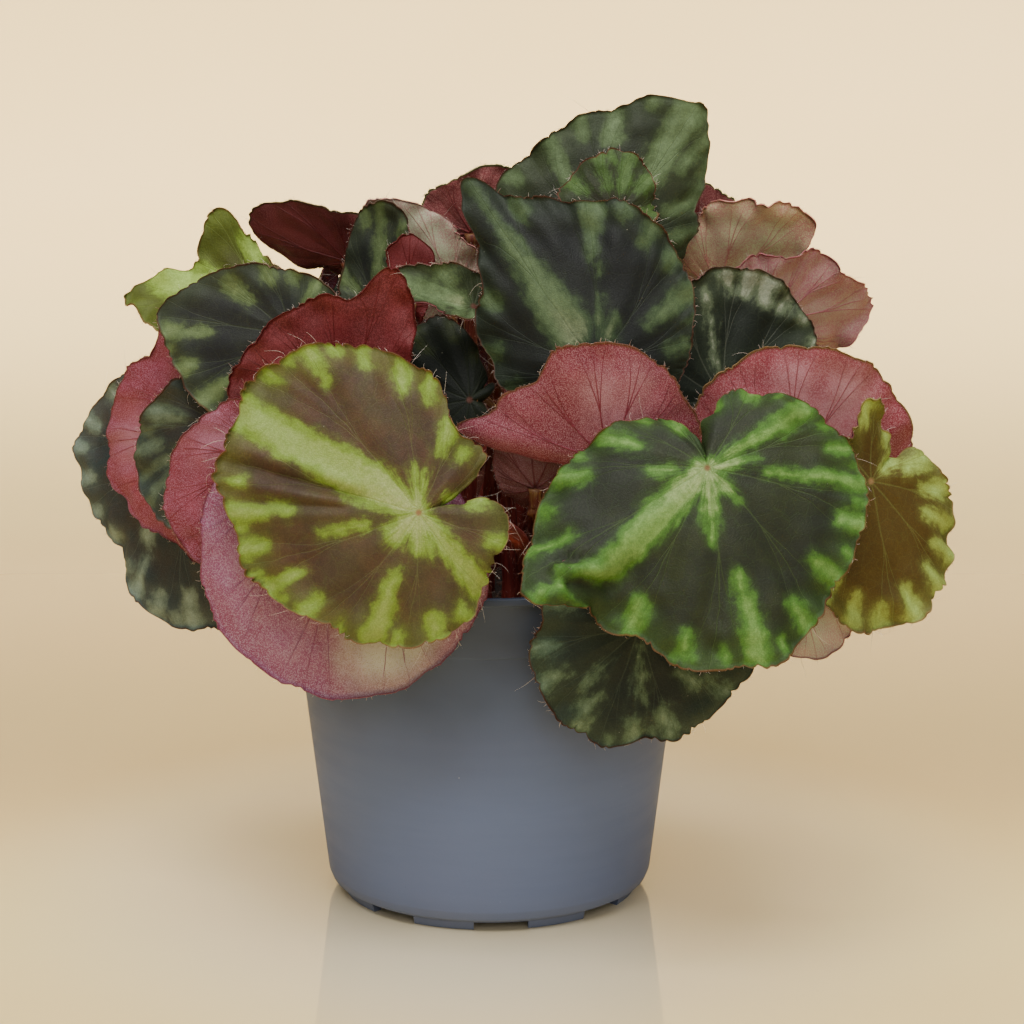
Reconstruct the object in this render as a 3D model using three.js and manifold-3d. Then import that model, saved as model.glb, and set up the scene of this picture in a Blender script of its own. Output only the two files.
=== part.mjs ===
// A potted rex begonia: a plastic nursery pot, its soil and the leaves, each on its own stalk.
// Millimetres, +Z up. The origin is on the table, under the middle of the pot.
import * as THREE from "three";
import { mergeVertices } from "three/addons/utils/BufferGeometryUtils.js";
import Module from "manifold-3d";

const wasm = await Module();
wasm.setup();

// ---- driving dimensions ------------------------------------------------------------------
const POT_RIM_RADIUS = 60;
const POT_HEIGHT = 101;
const POT_WALL = 1.2;
const POT_SEGMENTS = 40;
const LIP_HEIGHT = 2.3; // the rolled edge at the top of the pot
const COLLAR_BOTTOM = 83; // where the collar band steps out of the wall
const COLLAR_STEP = 0.7;
const WALL_RADIUS_TOP = 56; // the wall's radius just under the collar
const WALL_RADIUS_BOTTOM = 46.9;
const FILLET_TOP = 6.5; // height where the rounded bottom edge meets the wall
const FOOT_RADIUS = 42.5;
const FOOT_WIDTH = 3;
const FOOT_HEIGHT = 2.5;
const FOOT_COUNT = 8;
const NOTCH_WIDTH = 15.5;
const NOTCH_TURN = 4.8; // degrees from the front to the first notch
const CENTRE_FOOT_RADIUS = 8;
const BASE_THICKNESS = 1.7;
const DRAIN_RADIUS = 3;
const DRAIN_RING_RADIUS = 27;

const GAP = 0.3; // between two pieces that touch
const SOIL_LEVEL = 88;
const SOIL_SEGMENTS = 24;
const SOIL_DOME = 3; // how much higher the soil is in the middle

const BLADE_THICKNESS = 0.7;
const BLADE_SPOKES = 16; // directions in which a blade is divided round its stalk
const BLADE_RINGS = 3;
const NARROW_HUMP = 11; // degrees: a hump under this width gets a spoke of its own
const TOOTH_DEPTH = 0.025; // share of the radius that the edge's teeth cut in
const SINUS_OPEN = 11; // degrees that the notch at the stalk stands open
const SINUS_EASE = 30; // degrees over which the lobes beside the notch round off

const STALK_SIDES = 4;
const STALK_STEPS = 5;
const STALK_RADIUS_FOOT = 3;
const STALK_RADIUS_TOP = 2;
const STALK_RISE = 28; // how far a stalk rises before it leans over
const STALK_BELOW = 12; // how far under its blade, and beside it, a stalk comes in
const STALK_BESIDE = 10;
const STALK_DEPTH = 10; // how deep a stalk stands in the soil
const ROOT_RINGS = [9.5, 20.5, 33]; // radii of the rings that the stalks stand on

// ---- the leaves --------------------------------------------------------------------------
// at: where the stalk meets the blade. face: which way the upper face looks, as a turn from
// the front (90 is to the right) and a tilt upwards; past a turn of 90 either way the red
// underside is what shows in front. spin: which way the midrib runs, seen on the upper face,
// anticlockwise from the right. size: the blade's half length along the midrib and its half
// width. off: its middle, along and across the midrib. sinus: the notch's direction from the
// tip. cup: how much the edge is lifted. ruffle: height, count and phase of the edge's waves.
// bulges and waves: single humps of the edge outwards and upwards, each as direction, width
// and height. bends: direction, start, angle and length of arc. ring: the root ring. from:
// the way the stalk comes in. rise: how far it first stands upright.
const LEAVES = [
  // the front, low over the rim
  {
    name: "leaf_front_left", at: [-18, -84, 131], face: [-4, 16], spin: 165, size: [40, 38],
    off: [15, 0], sinus: -142, cup: -6, ruffle: [1.2, 7, 0], ring: 2,
    bulges: [[-101, 18, -8], [-38, 22, 5], [20, 14, -4], [60, 16, -3], [120, 24, 5]],
    waves: [[0, 14, 5], [-95, 14, 3]], from: [30, 8, -8],
  },
  {
    name: "leaf_front_right", at: [58, -84, 143], face: [4, 30], spin: 211, size: [47, 36],
    off: [9, 12], sinus: -116, cup: -7, ruffle: [1.2, 6, 40], ring: 2,
    bulges: [[36, 10, -10], [20, 9, -9], [78, 14, 5], [-100, 16, -6], [-28, 20, 3], [3, 7, 6]],
    waves: [[6, 9, 8], [22, 9, -5]], from: [0, 12, -26],
  },
  {
    name: "leaf_low_right", at: [41, -68, 95], face: [3, 8], spin: 251, size: [30, 29],
    off: [4, 1], sinus: 168, cup: -5, ruffle: [1, 7, 0], ring: 2,
    bulges: [[-74, 12, -3], [23, 12, -3], [88, 14, 4]], from: [0, 10, 22], rise: 34,
  },
  {
    name: "leaf_low_left_pink", at: [-36, -69, 139], face: [180, -8], spin: 283, size: [41, 40],
    off: [21, -3], sinus: -150, cup: 6, ruffle: [0.8, 5, 0], ring: 2, tone: "red",
    bulges: [[-100, 26, -9]], from: [10, 10, 4],
  },
  {
    name: "leaf_right_olive", at: [103, -64, 135], face: [25, 10], spin: 279, size: [27, 25],
    off: [14, 0], sinus: -128, cup: -3, ruffle: [1.4, 6, 0], ring: 2, tone: "olive",
    bulges: [[171, 16, 9], [116, 12, -7]], waves: [[170, 17, 10]], from: [-8, 12, -30], rise: 16,
  },
  {
    name: "leaf_pale_right", at: [85, -60, 109], face: [170, -5], spin: 259, size: [21, 15],
    off: [4, 0], sinus: 178, cup: 2, ruffle: [1, 5, 60], ring: 2, tone: "pale",
    from: [-6, 12, 12], rise: 30,
  },
  {
    name: "leaf_centre_pink", at: [32, -64, 141], face: [182, 14], spin: 82, size: [29, 29],
    off: [5, -3], sinus: -178, cup: 6, ruffle: [0.6, 5, 0], ring: 2, tone: "red",
    bulges: [[-73, 8, 12], [-112, 32, -22], [-36, 14, -6], [4, 30, -2], [60, 20, -2]],
    from: [0, 6, -20],
  },
  {
    name: "leaf_right_pink", at: [82, -50, 134], face: [192, 8], spin: 125, size: [30, 34],
    off: [6, 2], sinus: 173, cup: 6, ruffle: [1.2, 7, 20], ring: 2, tone: "red",
    bulges: [[155, 50, -17]], from: [0, 6, -20], rise: 38,
  },
  // the left side
  {
    name: "leaf_left_outer", at: [-88, -3, 127], face: [-30, 3], spin: 238, size: [39, 44],
    off: [5, 10], sinus: 173, cup: -5, ruffle: [1.2, 6, 0], ring: 2,
    bulges: [[-8, 6, -4], [22, 14, 3], [106, 38, -23], [-62, 20, 3]],
  },
  {
    name: "leaf_left_pink_outer", at: [-76, -22, 138], face: [156, 0], spin: 326, size: [38, 36],
    off: [0, -2], sinus: 173, cup: 3, ruffle: [0.8, 5, 0], ring: 2, tone: "red",
    bulges: [[102, 9, 8], [78, 12, -3], [13, 12, 2], [-27, 10, -2], [-146, 40, -14]],
    from: [14, 6, -10],
  },
  {
    name: "leaf_left_mid", at: [-75, -31, 144], face: [-20, 5], spin: 223, size: [25, 21],
    off: [7, 4], sinus: 137, cup: 0, ruffle: [1, 5, 0], ring: 2, from: [30, -7, -11],
  },
  {
    name: "leaf_left_mid_pink", at: [-60, -59, 140], face: [170, -5], spin: 334, size: [27, 24],
    off: [5, -6], sinus: -179, cup: 0, ruffle: [0.8, 6, 0], ring: 2, tone: "red",
    from: [14, -2, -18],
  },
  {
    name: "leaf_upper_left_dark", at: [-54, -36, 170], face: [-20, 18], spin: 176,
    size: [30, 22], off: [8, 4], sinus: -172, cup: 1, ruffle: [1, 5, 0], ring: 1,
    bulges: [[25, 12, -3], [-3, 8, 4]],
  },
  {
    name: "leaf_upper_left_pink", at: [-40, -50, 154], face: [176, -4], spin: 51, size: [27, 38],
    off: [1, -2], sinus: 176, cup: -1, ruffle: [0.8, 7, 0], ring: 1, tone: "red",
    bulges: [[46, 8, -3], [-80, 26, -12], [-140, 30, -16], [118, 38, -17], [62, 12, 8]],
    from: [0, 6, -20],
  },
  {
    name: "leaf_yellow_small", at: [-66, 2, 173], face: [-20, 40], spin: 184, size: [20, 18],
    off: [14, -1], sinus: 180, cup: 2, ruffle: [2, 5, 0], ring: 1, tone: "light",
    bulges: [[-1, 8, 7], [-28, 14, -8], [-63, 14, 7]], waves: [[-63, 20, 6]], from: [6, 4, -14],
  },
  {
    name: "leaf_red_upper_left", at: [-41, 26, 180], face: [172, 25], spin: 18, size: [25, 11],
    off: [6, 4], sinus: 171, cup: 2, ruffle: [1, 5, 0], ring: 1, tone: "red", from: [4, -2, -16],
  },
  // the middle and the top
  {
    name: "leaf_upright_fold", at: [-31, -10, 173], face: [-30, 10], spin: 87, size: [24, 12],
    off: [6, 0], sinus: -169, cup: 3, ruffle: [1, 5, 0], ring: 1,
  },
  {
    name: "leaf_pale_pink", at: [-11, 12, 176], face: [188, 20], spin: 67, size: [20, 15],
    off: [7, -4], sinus: 174, cup: 3, ruffle: [1.2, 6, 0], ring: 0, tone: "pale",
    bulges: [[-20, 14, 8], [-65, 24, -6], [30, 24, -4], [180, 40, -6]], from: [0, 6, -20],
  },
  {
    name: "leaf_red_back_top", at: [-5, 22, 189], face: [182, 20], spin: 95, size: [20, 22],
    off: [0, 6], sinus: 176, cup: 3, ruffle: [1.2, 5, 0], ring: 1, tone: "red",
    from: [0, 6, -20],
  },
  {
    name: "leaf_silver_fold", at: [-4, -38, 178], face: [26, 35], spin: 166, size: [21, 7.5],
    off: [4, -3], sinus: 160, cup: 3, ruffle: [1, 5, 0], ring: 0,
    bulges: [[0, 8, 3], [180, 40, -5]], from: [12, 14, -12],
  },
  {
    name: "leaf_red_flap", at: [-22, -22, 176], face: [176, 0], spin: 91, size: [13, 6.5],
    off: [6, 0], sinus: 175, cup: 1, ruffle: [0.6, 5, 0], ring: 1, tone: "red",
    bulges: [[-25, 10, 2], [25, 10, 2]], from: [0, 2, -14],
  },
  {
    name: "leaf_gap_pink", at: [13, -46, 129], face: [176, 0], spin: 83, size: [12, 11],
    off: [6, 0], sinus: 175, cup: 2, ruffle: [0.6, 5, 0], ring: 1, tone: "pale",
    from: [0, 2, -14],
  },
  {
    name: "leaf_red_right_top", at: [62, 39, 183], face: [178, 10], spin: 82, size: [14, 13],
    off: [4, 0], sinus: 178, cup: 2, ruffle: [0.8, 6, 0], ring: 1, tone: "red",
    from: [-12, 4, -14],
  },
  {
    name: "leaf_centre_dark", at: [-5, -38, 152], face: [-10, 18], spin: 131, size: [19, 22],
    off: [9, 5], sinus: -80, cup: -2, ruffle: [1, 6, 0], ring: 1,
    bulges: [[-131, 35, -8], [-55, 24, -9]],
  },
  {
    name: "leaf_top_centre", at: [29, -57, 165], face: [-3, 14], spin: 125, size: [34, 29],
    off: [17, -7], sinus: -169, cup: -7, ruffle: [1, 6, 0], ring: 0,
    bulges: [[1, 6, 14], [-25, 14, -5], [20, 9, -5], [63, 14, 3]], waves: [[1, 8, -3]],
  },
  {
    name: "leaf_top_back", at: [32, 8, 186], face: [5, 14], spin: 55, size: [44, 27],
    off: [5, 5], sinus: 169, cup: -6, ruffle: [1.2, 7, 0], ring: 0,
    bulges: [[26, 14, -4], [-3, 7, 5], [-30, 10, -3], [85, 12, 3]],
  },
  {
    name: "leaf_small_mid", at: [36, -8, 199], face: [0, 20], spin: 84, size: [16, 13],
    off: [3, 2], sinus: -174, cup: -2, ruffle: [0.8, 6, 0], ring: 0,
    bulges: [[73, 12, 2], [23, 12, -2]],
  },
  // the right side
  {
    name: "leaf_right_pink_upper", at: [67, 27, 171], face: [172, 30], spin: 130, size: [26, 16],
    off: [10, -3], sinus: 178, cup: 3, ruffle: [2, 7, 60], ring: 1, tone: "pale",
    bulges: [[12, 8, 4], [-40, 10, 3]], from: [0, 6, -20], rise: 42,
  },
  {
    name: "leaf_right_pink_lower", at: [81, 0, 167], face: [198, 18], spin: 172, size: [32, 20],
    off: [-2, 0], sinus: 178, cup: 3, ruffle: [1.8, 7, 90], ring: 1, tone: "pale",
    bulges: [[-22, 12, -3], [5, 8, 3]], from: [0, 6, -20], rise: 40,
  },
  {
    name: "leaf_right_dark_blue", at: [65, -26, 150], face: [20, 20], spin: 45, size: [29, 27],
    off: [7, 4], sinus: -172, cup: 4, ruffle: [1, 6, 0], ring: 1,
  },
  // the back
  {
    name: "leaf_back_low", at: [8, 76, 122], face: [178, 35], spin: 252, size: [38, 36],
    off: [13, 3], sinus: -140, cup: -7, ruffle: [1.2, 7, 0], ring: 2, bends: [[0, 14, -30, 24]],
  },
  {
    name: "leaf_back_low_left", at: [-62, 58, 123], face: [228, 28], spin: 232, size: [36, 34],
    off: [12, 3], sinus: -145, cup: -7, ruffle: [1.2, 6, 0], ring: 2, bends: [[0, 14, -30, 24]],
  },
  {
    name: "leaf_back_low_right", at: [70, 54, 128], face: [130, 30], spin: 300, size: [36, 34],
    off: [12, -3], sinus: 142, cup: -7, ruffle: [1.2, 6, 50], ring: 2, bends: [[0, 14, -30, 24]],
  },
  {
    name: "leaf_back_high", at: [4, 56, 170], face: [178, 42], spin: 275, size: [32, 32],
    off: [11, 3], sinus: -145, cup: -6, ruffle: [1.2, 7, 0], ring: 1, bends: [[0, 12, -24, 20]],
  },
  {
    name: "leaf_back_high_left", at: [-54, 42, 166], face: [232, 38], spin: 240, size: [26, 25],
    off: [9, 2], sinus: -142, cup: -6, ruffle: [1.2, 6, 0], ring: 1, bends: [[0, 12, -14, 20]],
  },
  {
    name: "leaf_back_high_right", at: [64, 52, 152], face: [135, 40], spin: 285, size: [28, 26],
    off: [9, -2], sinus: 145, cup: -6, ruffle: [1.2, 6, 30], ring: 1, bends: [[0, 12, -24, 20]],
  },
  {
    name: "leaf_right_side", at: [98, -4, 126], face: [88, 22], spin: 265, size: [32, 30],
    off: [10, 3], sinus: -142, cup: -7, ruffle: [1.2, 6, 0], ring: 2, bends: [[0, 14, -30, 24]],
  },
  {
    name: "leaf_left_side", at: [-90, 36, 128], face: [268, 22], spin: 275, size: [32, 30],
    off: [10, -3], sinus: 142, cup: -7, ruffle: [1.2, 6, 0], ring: 2, bends: [[0, 14, -30, 24]],
  },
];

// ---- solids ------------------------------------------------------------------------------
const radians = THREE.MathUtils.degToRad;

function solidOf(geometry) {
  const bare = geometry.index ? geometry.toNonIndexed() : geometry.clone();
  bare.deleteAttribute("normal");
  bare.deleteAttribute("uv");
  const merged = mergeVertices(bare, 1e-4);
  return new wasm.Manifold(
    new wasm.Mesh({
      numProp: 3,
      vertProperties: merged.attributes.position.array,
      triVerts: new Uint32Array(merged.index.array),
    }),
  );
}

function geometryOf(solid) {
  const mesh = solid.getMesh();
  const geometry = new THREE.BufferGeometry();
  geometry.setAttribute("position", new THREE.BufferAttribute(mesh.vertProperties, 3));
  geometry.setIndex(new THREE.BufferAttribute(mesh.triVerts, 1));
  geometry.computeVertexNormals();
  return geometry;
}

function turned(profile, segments) {
  const lathe = new THREE.LatheGeometry(
    profile.map(([radius, height]) => new THREE.Vector2(radius, height)),
    segments,
  );
  return solidOf(lathe.rotateX(Math.PI / 2));
}

// ---- pot ---------------------------------------------------------------------------------
const lipBottom = POT_HEIGHT - LIP_HEIGHT;
const baseTop = FOOT_HEIGHT + BASE_THICKNESS;
const wallDraft = (WALL_RADIUS_TOP - WALL_RADIUS_BOTTOM) / (COLLAR_BOTTOM - FILLET_TOP);
const wallRadius = (height) => WALL_RADIUS_BOTTOM + wallDraft * (height - FILLET_TOP);

function makePot() {
  const lipRadius = POT_RIM_RADIUS;
  const collarTop = lipRadius - 1;
  const profile = [
    [0, 0],
    [CENTRE_FOOT_RADIUS, 0],
    [CENTRE_FOOT_RADIUS + 0.5, FOOT_HEIGHT],
    [FOOT_RADIUS - FOOT_WIDTH, FOOT_HEIGHT],
    [FOOT_RADIUS - FOOT_WIDTH, 0],
    [FOOT_RADIUS, 0],
    [FOOT_RADIUS + 0.6, FOOT_HEIGHT],
    [WALL_RADIUS_BOTTOM - 1.1, FOOT_HEIGHT + 1.4],
    [WALL_RADIUS_BOTTOM, FILLET_TOP],
    [WALL_RADIUS_TOP, COLLAR_BOTTOM],
    [WALL_RADIUS_TOP + COLLAR_STEP, COLLAR_BOTTOM + 0.4],
    [collarTop, lipBottom],
    [lipRadius, lipBottom + 0.3],
    [lipRadius - 0.2, POT_HEIGHT],
    [collarTop - POT_WALL, POT_HEIGHT],
    [WALL_RADIUS_TOP - POT_WALL, COLLAR_BOTTOM],
    [WALL_RADIUS_BOTTOM - POT_WALL, FILLET_TOP + 1],
    [WALL_RADIUS_BOTTOM - POT_WALL - 2, baseTop],
    [0, baseTop],
  ];
  let pot = turned(profile, POT_SEGMENTS);
  for (let foot = 0; foot < FOOT_COUNT; foot++) {
    const angle = radians(-90 + NOTCH_TURN + (360 / FOOT_COUNT) * foot);
    const notch = new THREE.BoxGeometry(2.5 * FOOT_WIDTH, NOTCH_WIDTH, 2 * FOOT_HEIGHT);
    notch.translate(FOOT_RADIUS - FOOT_WIDTH / 2, 0, 0).rotateZ(angle);
    pot = pot.subtract(solidOf(notch));
    const drain = new THREE.CylinderGeometry(DRAIN_RADIUS, DRAIN_RADIUS, 4 * baseTop, 8);
    drain.rotateX(Math.PI / 2).translate(DRAIN_RING_RADIUS, 0, 0).rotateZ(angle);
    pot = pot.subtract(solidOf(drain));
  }
  return pot;
}

// ---- leaves ------------------------------------------------------------------------------
// The sum of single humps, each given as direction, width and height.
function summed(humps = [], turn) {
  let sum = 0;
  for (const [direction, width, height] of humps) {
    const off = turn - radians(direction);
    const away = Math.atan2(Math.sin(off), Math.cos(off));
    sum += height * Math.exp(-((away / radians(width)) ** 2));
  }
  return sum;
}

// The blade's edge: the distance from the stalk to the rim of an ellipse that the stalk meets
// off its middle, drawn in beside the notch.
function edgeRadius(leaf, turn) {
  const c = Math.cos(turn);
  const s = Math.sin(turn);
  const [a, b] = leaf.size;
  const [cu, cv] = leaf.off;
  const square = (c * c) / (a * a) + (s * s) / (b * b);
  const half = (c * cu) / (a * a) + (s * cv) / (b * b);
  const rest = (cu * cu) / (a * a) + (cv * cv) / (b * b) - 1;
  const radius = (half + Math.sqrt(half * half - square * rest)) / square;
  const notch = radians(leaf.sinus);
  const away = Math.abs(Math.atan2(Math.sin(turn - notch), Math.cos(turn - notch)));
  const ease = Math.min(1, (away - radians(SINUS_OPEN / 2)) / radians(SINUS_EASE));
  const rounding = 0.25 + 0.75 * Math.sqrt(Math.max(0, 1 - (1 - ease) ** 2));
  return (radius + summed(leaf.bulges, turn)) * rounding;
}

// Wraps the part of the blade past a line round a cylinder.
function bend([along, across, up], [direction, start, angle, arc]) {
  const c = Math.cos(radians(direction));
  const s = Math.sin(radians(direction));
  const past = along * c + across * s - start;
  const side = -along * s + across * c;
  if (past <= 0) return [along, across, up];
  const turn = (radians(angle) * Math.min(past, arc)) / arc;
  const bendRadius = arc / radians(angle);
  const beyond = Math.max(0, past - arc);
  const reach =
    start + (bendRadius - up) * Math.sin(turn) + beyond * Math.cos(turn);
  const lift = bendRadius - (bendRadius - up) * Math.cos(turn) + beyond * Math.sin(turn);
  return [reach * c - side * s, reach * s + side * c, lift];
}

// A point of the blade's middle surface, in the leaf's own frame.
function bladePoint(leaf, turn, share, trim = 1) {
  const radius = edgeRadius(leaf, turn) * share * trim;
  const [height, count, phase] = leaf.ruffle;
  let up = leaf.cup * share ** 2;
  up += height * share ** 3 * Math.sin(count * turn + radians(phase));
  up += summed(leaf.waves, turn) * share ** 2.5;
  let point = [radius * Math.cos(turn), radius * Math.sin(turn), up];
  for (const each of leaf.bends ?? []) point = bend(point, each);
  return point;
}

// The leaf's axes in the part's frame: along the midrib, across it, and out of the upper face.
function leafAxes(leaf) {
  const [turn, tilt] = leaf.face.map(radians);
  const spin = radians(leaf.spin);
  const right = new THREE.Vector3(Math.cos(turn), Math.sin(turn), 0);
  const out = new THREE.Vector3(
    Math.sin(turn) * Math.cos(tilt),
    -Math.cos(turn) * Math.cos(tilt),
    Math.sin(tilt),
  );
  const up = new THREE.Vector3().crossVectors(out, right);
  const along = right.clone().multiplyScalar(Math.cos(spin)).addScaledVector(up, Math.sin(spin));
  const across = new THREE.Vector3().crossVectors(out, along);
  return { along, across, out };
}

function placed(leaf, axes, [along, across, up]) {
  return new THREE.Vector3(...leaf.at)
    .addScaledVector(axes.along, along)
    .addScaledVector(axes.across, across)
    .addScaledVector(axes.out, up);
}

// The spokes' directions: even steps from one side of the notch round to the other, and the
// nearest one is turned to meet each narrow hump of the edge.
function spokeTurns(leaf) {
  const first = leaf.sinus + SINUS_OPEN / 2;
  const step = (360 - SINUS_OPEN) / BLADE_SPOKES;
  const turns = Array.from({ length: BLADE_SPOKES + 1 }, (_, spoke) => first + step * spoke);
  for (const [direction, width] of leaf.bulges ?? []) {
    const past = (((direction - first) % 360) + 360) % 360;
    const nearest = Math.round(past / step);
    const inside = nearest > 0 && nearest < BLADE_SPOKES;
    if (width < NARROW_HUMP && inside) turns[nearest] = first + past;
  }
  return turns.map(radians);
}

// A thin solid from a fan of points round the stalk, split alike on both faces.
function makeBlade(leaf, axes) {
  const turns = spokeTurns(leaf);
  const middle = [placed(leaf, axes, bladePoint(leaf, 0, 0))];
  const at = (spoke, ring) => (ring === 0 ? 0 : 1 + spoke * BLADE_RINGS + ring - 1);
  for (let spoke = 0; spoke <= BLADE_SPOKES; spoke++) {
    for (let ring = 1; ring <= BLADE_RINGS; ring++) {
      const tooth = ring === BLADE_RINGS && spoke % 2 ? 1 - TOOTH_DEPTH : 1;
      middle.push(placed(leaf, axes, bladePoint(leaf, turns[spoke], ring / BLADE_RINGS, tooth)));
    }
  }
  const faces = [];
  for (let spoke = 0; spoke < BLADE_SPOKES; spoke++) {
    faces.push([0, at(spoke, 1), at(spoke + 1, 1)]);
    for (let ring = 1; ring < BLADE_RINGS; ring++) {
      const [a, b] = [at(spoke, ring), at(spoke, ring + 1)];
      const [c, d] = [at(spoke + 1, ring + 1), at(spoke + 1, ring)];
      if ((spoke + ring) % 2) faces.push([a, b, c], [a, c, d]);
      else faces.push([a, b, d], [b, c, d]);
    }
  }
  const normals = middle.map(() => new THREE.Vector3());
  for (const [a, b, c] of faces) {
    const ab = middle[b].clone().sub(middle[a]);
    const normal = ab.cross(middle[c].clone().sub(middle[a]));
    for (const corner of [a, b, c]) normals[corner].add(normal);
  }
  const count = middle.length;
  const shell = [1, -1].flatMap((side) =>
    middle.map((point, i) =>
      point.clone().addScaledVector(normals[i].normalize(), (side * BLADE_THICKNESS) / 2),
    ),
  );
  const rim = [0];
  for (let ring = 1; ring <= BLADE_RINGS; ring++) rim.push(at(0, ring));
  for (let spoke = 1; spoke <= BLADE_SPOKES; spoke++) rim.push(at(spoke, BLADE_RINGS));
  for (let ring = BLADE_RINGS - 1; ring >= 1; ring--) rim.push(at(BLADE_SPOKES, ring));
  const index = [];
  for (const [a, b, c] of faces) index.push(a, b, c, a + count, c + count, b + count);
  rim.forEach((a, i) => {
    const b = rim[(i + 1) % rim.length];
    index.push(a, a + count, b + count, a, b + count, b);
  });
  const geometry = new THREE.BufferGeometry().setFromPoints(shell);
  geometry.setIndex(index);
  return solidOf(geometry);
}

// Where each leaf's stalk stands: evenly round its ring, in the order of the leaves' bearings.
function standingPlaces() {
  const bearing = (leaf) => Math.atan2(leaf.at[1], leaf.at[0]);
  const places = new Map();
  ROOT_RINGS.forEach((radius, ring) => {
    const around = LEAVES.filter((leaf) => leaf.ring === ring);
    around.sort((one, other) => bearing(one) - bearing(other));
    const start = around.length ? bearing(around[0]) : 0;
    around.forEach((leaf, i) => {
      const angle = start + (2 * Math.PI * i) / around.length;
      places.set(leaf.name, new THREE.Vector2(radius * Math.cos(angle), radius * Math.sin(angle)));
    });
  });
  return places;
}

// The way in which a stalk reaches its blade: from under it, on the side of the notch.
function stalkArrival(leaf, axes) {
  if (leaf.from) return new THREE.Vector3(...leaf.from);
  const notch = radians(leaf.sinus);
  return axes.out
    .clone()
    .multiplyScalar(-STALK_BELOW)
    .addScaledVector(axes.along, STALK_BESIDE * Math.cos(notch))
    .addScaledVector(axes.across, STALK_BESIDE * Math.sin(notch));
}

function stalkCurve(leaf, axes, place) {
  const at = new THREE.Vector3(...leaf.at);
  const foot = new THREE.Vector3(place.x, place.y, SOIL_LEVEL + 2);
  const risen = foot.clone().add(new THREE.Vector3(0, 0, leaf.rise ?? STALK_RISE));
  const arrival = at.clone().add(stalkArrival(leaf, axes));
  const end = at.clone().addScaledVector(axes.out, BLADE_THICKNESS);
  return new THREE.CubicBezierCurve3(foot, risen, arrival, end);
}

// A tapering round stem along a curve, with a straight foot that stands in the soil.
function makeStem(curve, steps, radiusAt, sides, footDepth) {
  const frames = curve.computeFrenetFrames(steps);
  const points = [];
  for (let step = 0; step <= steps; step++) {
    const centre = curve.getPointAt(step / steps);
    const radius = radiusAt(step / steps);
    for (let side = 0; side < sides; side++) {
      const angle = (2 * Math.PI * side) / sides;
      points.push(
        centre
          .clone()
          .addScaledVector(frames.normals[step], radius * Math.cos(angle))
          .addScaledVector(frames.binormals[step], radius * Math.sin(angle)),
      );
    }
  }
  const footRing = points.slice(0, sides).map((p) => p.clone().setZ(p.z - footDepth));
  const all = [...footRing, ...points];
  const rings = steps + 2;
  const index = [];
  for (let ring = 0; ring < rings - 1; ring++) {
    for (let side = 0; side < sides; side++) {
      const a = ring * sides + side;
      const b = ring * sides + ((side + 1) % sides);
      index.push(a, b, b + sides, a, b + sides, a + sides);
    }
  }
  for (let side = 1; side < sides - 1; side++) {
    const top = (rings - 1) * sides;
    index.push(0, side + 1, side, top, top + side, top + side + 1);
  }
  const geometry = new THREE.BufferGeometry().setFromPoints(all);
  geometry.setIndex(index);
  return solidOf(geometry);
}

function stalkSolid(leaf, axes, place, extra) {
  const curve = stalkCurve(leaf, axes, place);
  const radiusAt = (share) =>
    THREE.MathUtils.lerp(STALK_RADIUS_FOOT, STALK_RADIUS_TOP, share) + extra;
  return makeStem(curve, STALK_STEPS, radiusAt, STALK_SIDES, STALK_DEPTH + extra);
}

// ---- soil --------------------------------------------------------------------------------
function makeSoil(cutters) {
  const top = WALL_RADIUS_TOP - POT_WALL - GAP;
  const profile = [
    [0, baseTop + GAP],
    [WALL_RADIUS_BOTTOM - POT_WALL - 2 - GAP, baseTop + GAP],
    [wallRadius(FILLET_TOP + 1) - POT_WALL - GAP, FILLET_TOP + 1 + GAP],
    [top, COLLAR_BOTTOM],
    [top, SOIL_LEVEL - 1],
    [top * 0.7, SOIL_LEVEL + 0.3 * SOIL_DOME],
    [top * 0.35, SOIL_LEVEL + 0.8 * SOIL_DOME],
    [0, SOIL_LEVEL + SOIL_DOME],
  ];
  let soil = turned(profile, SOIL_SEGMENTS);
  for (const cutter of cutters) soil = soil.subtract(cutter);
  return soil;
}

// ---- the plant in its pot ----------------------------------------------------------------
const COLORS = {
  pot: 0x5f6b7f,
  soil: 0x2b1d14,
  leaf: 0x33472f,
  red: 0x8a3a44,
  pale: 0xa97f72,
  light: 0x7d8f3a,
  olive: 0x6b5a26,
};
const plant = new THREE.Group();

function add(name, solid, color, roughness) {
  const material = new THREE.MeshStandardMaterial({ color, roughness, metalness: 0 });
  const mesh = new THREE.Mesh(geometryOf(solid), material);
  mesh.name = name;
  plant.add(mesh);
}

function addLeaves() {
  const places = standingPlaces();
  return LEAVES.map((leaf) => {
    const axes = leafAxes(leaf);
    const place = places.get(leaf.name);
    const blade = makeBlade(leaf, axes);
    const stalk = stalkSolid(leaf, axes, place, 0);
    add(leaf.name, blade.add(stalk), COLORS[leaf.tone ?? "leaf"], 0.5);
    return stalkSolid(leaf, axes, place, GAP);
  });
}

add("pot", makePot(), COLORS.pot, 0.55);
const holes = addLeaves();
add("soil", makeSoil(holes), COLORS.soil, 0.95);

export default plant;
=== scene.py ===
# A potted rex begonia: the fine surface of each leaf, its veins, pattern and hairs, the peat, and
# the moulded plastic pot. Metres. Leaf rows are in millimetres, the same as the solids' rows.
import itertools
import math

import bpy
import numpy as np
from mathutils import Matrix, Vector
from numpy import radians


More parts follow.
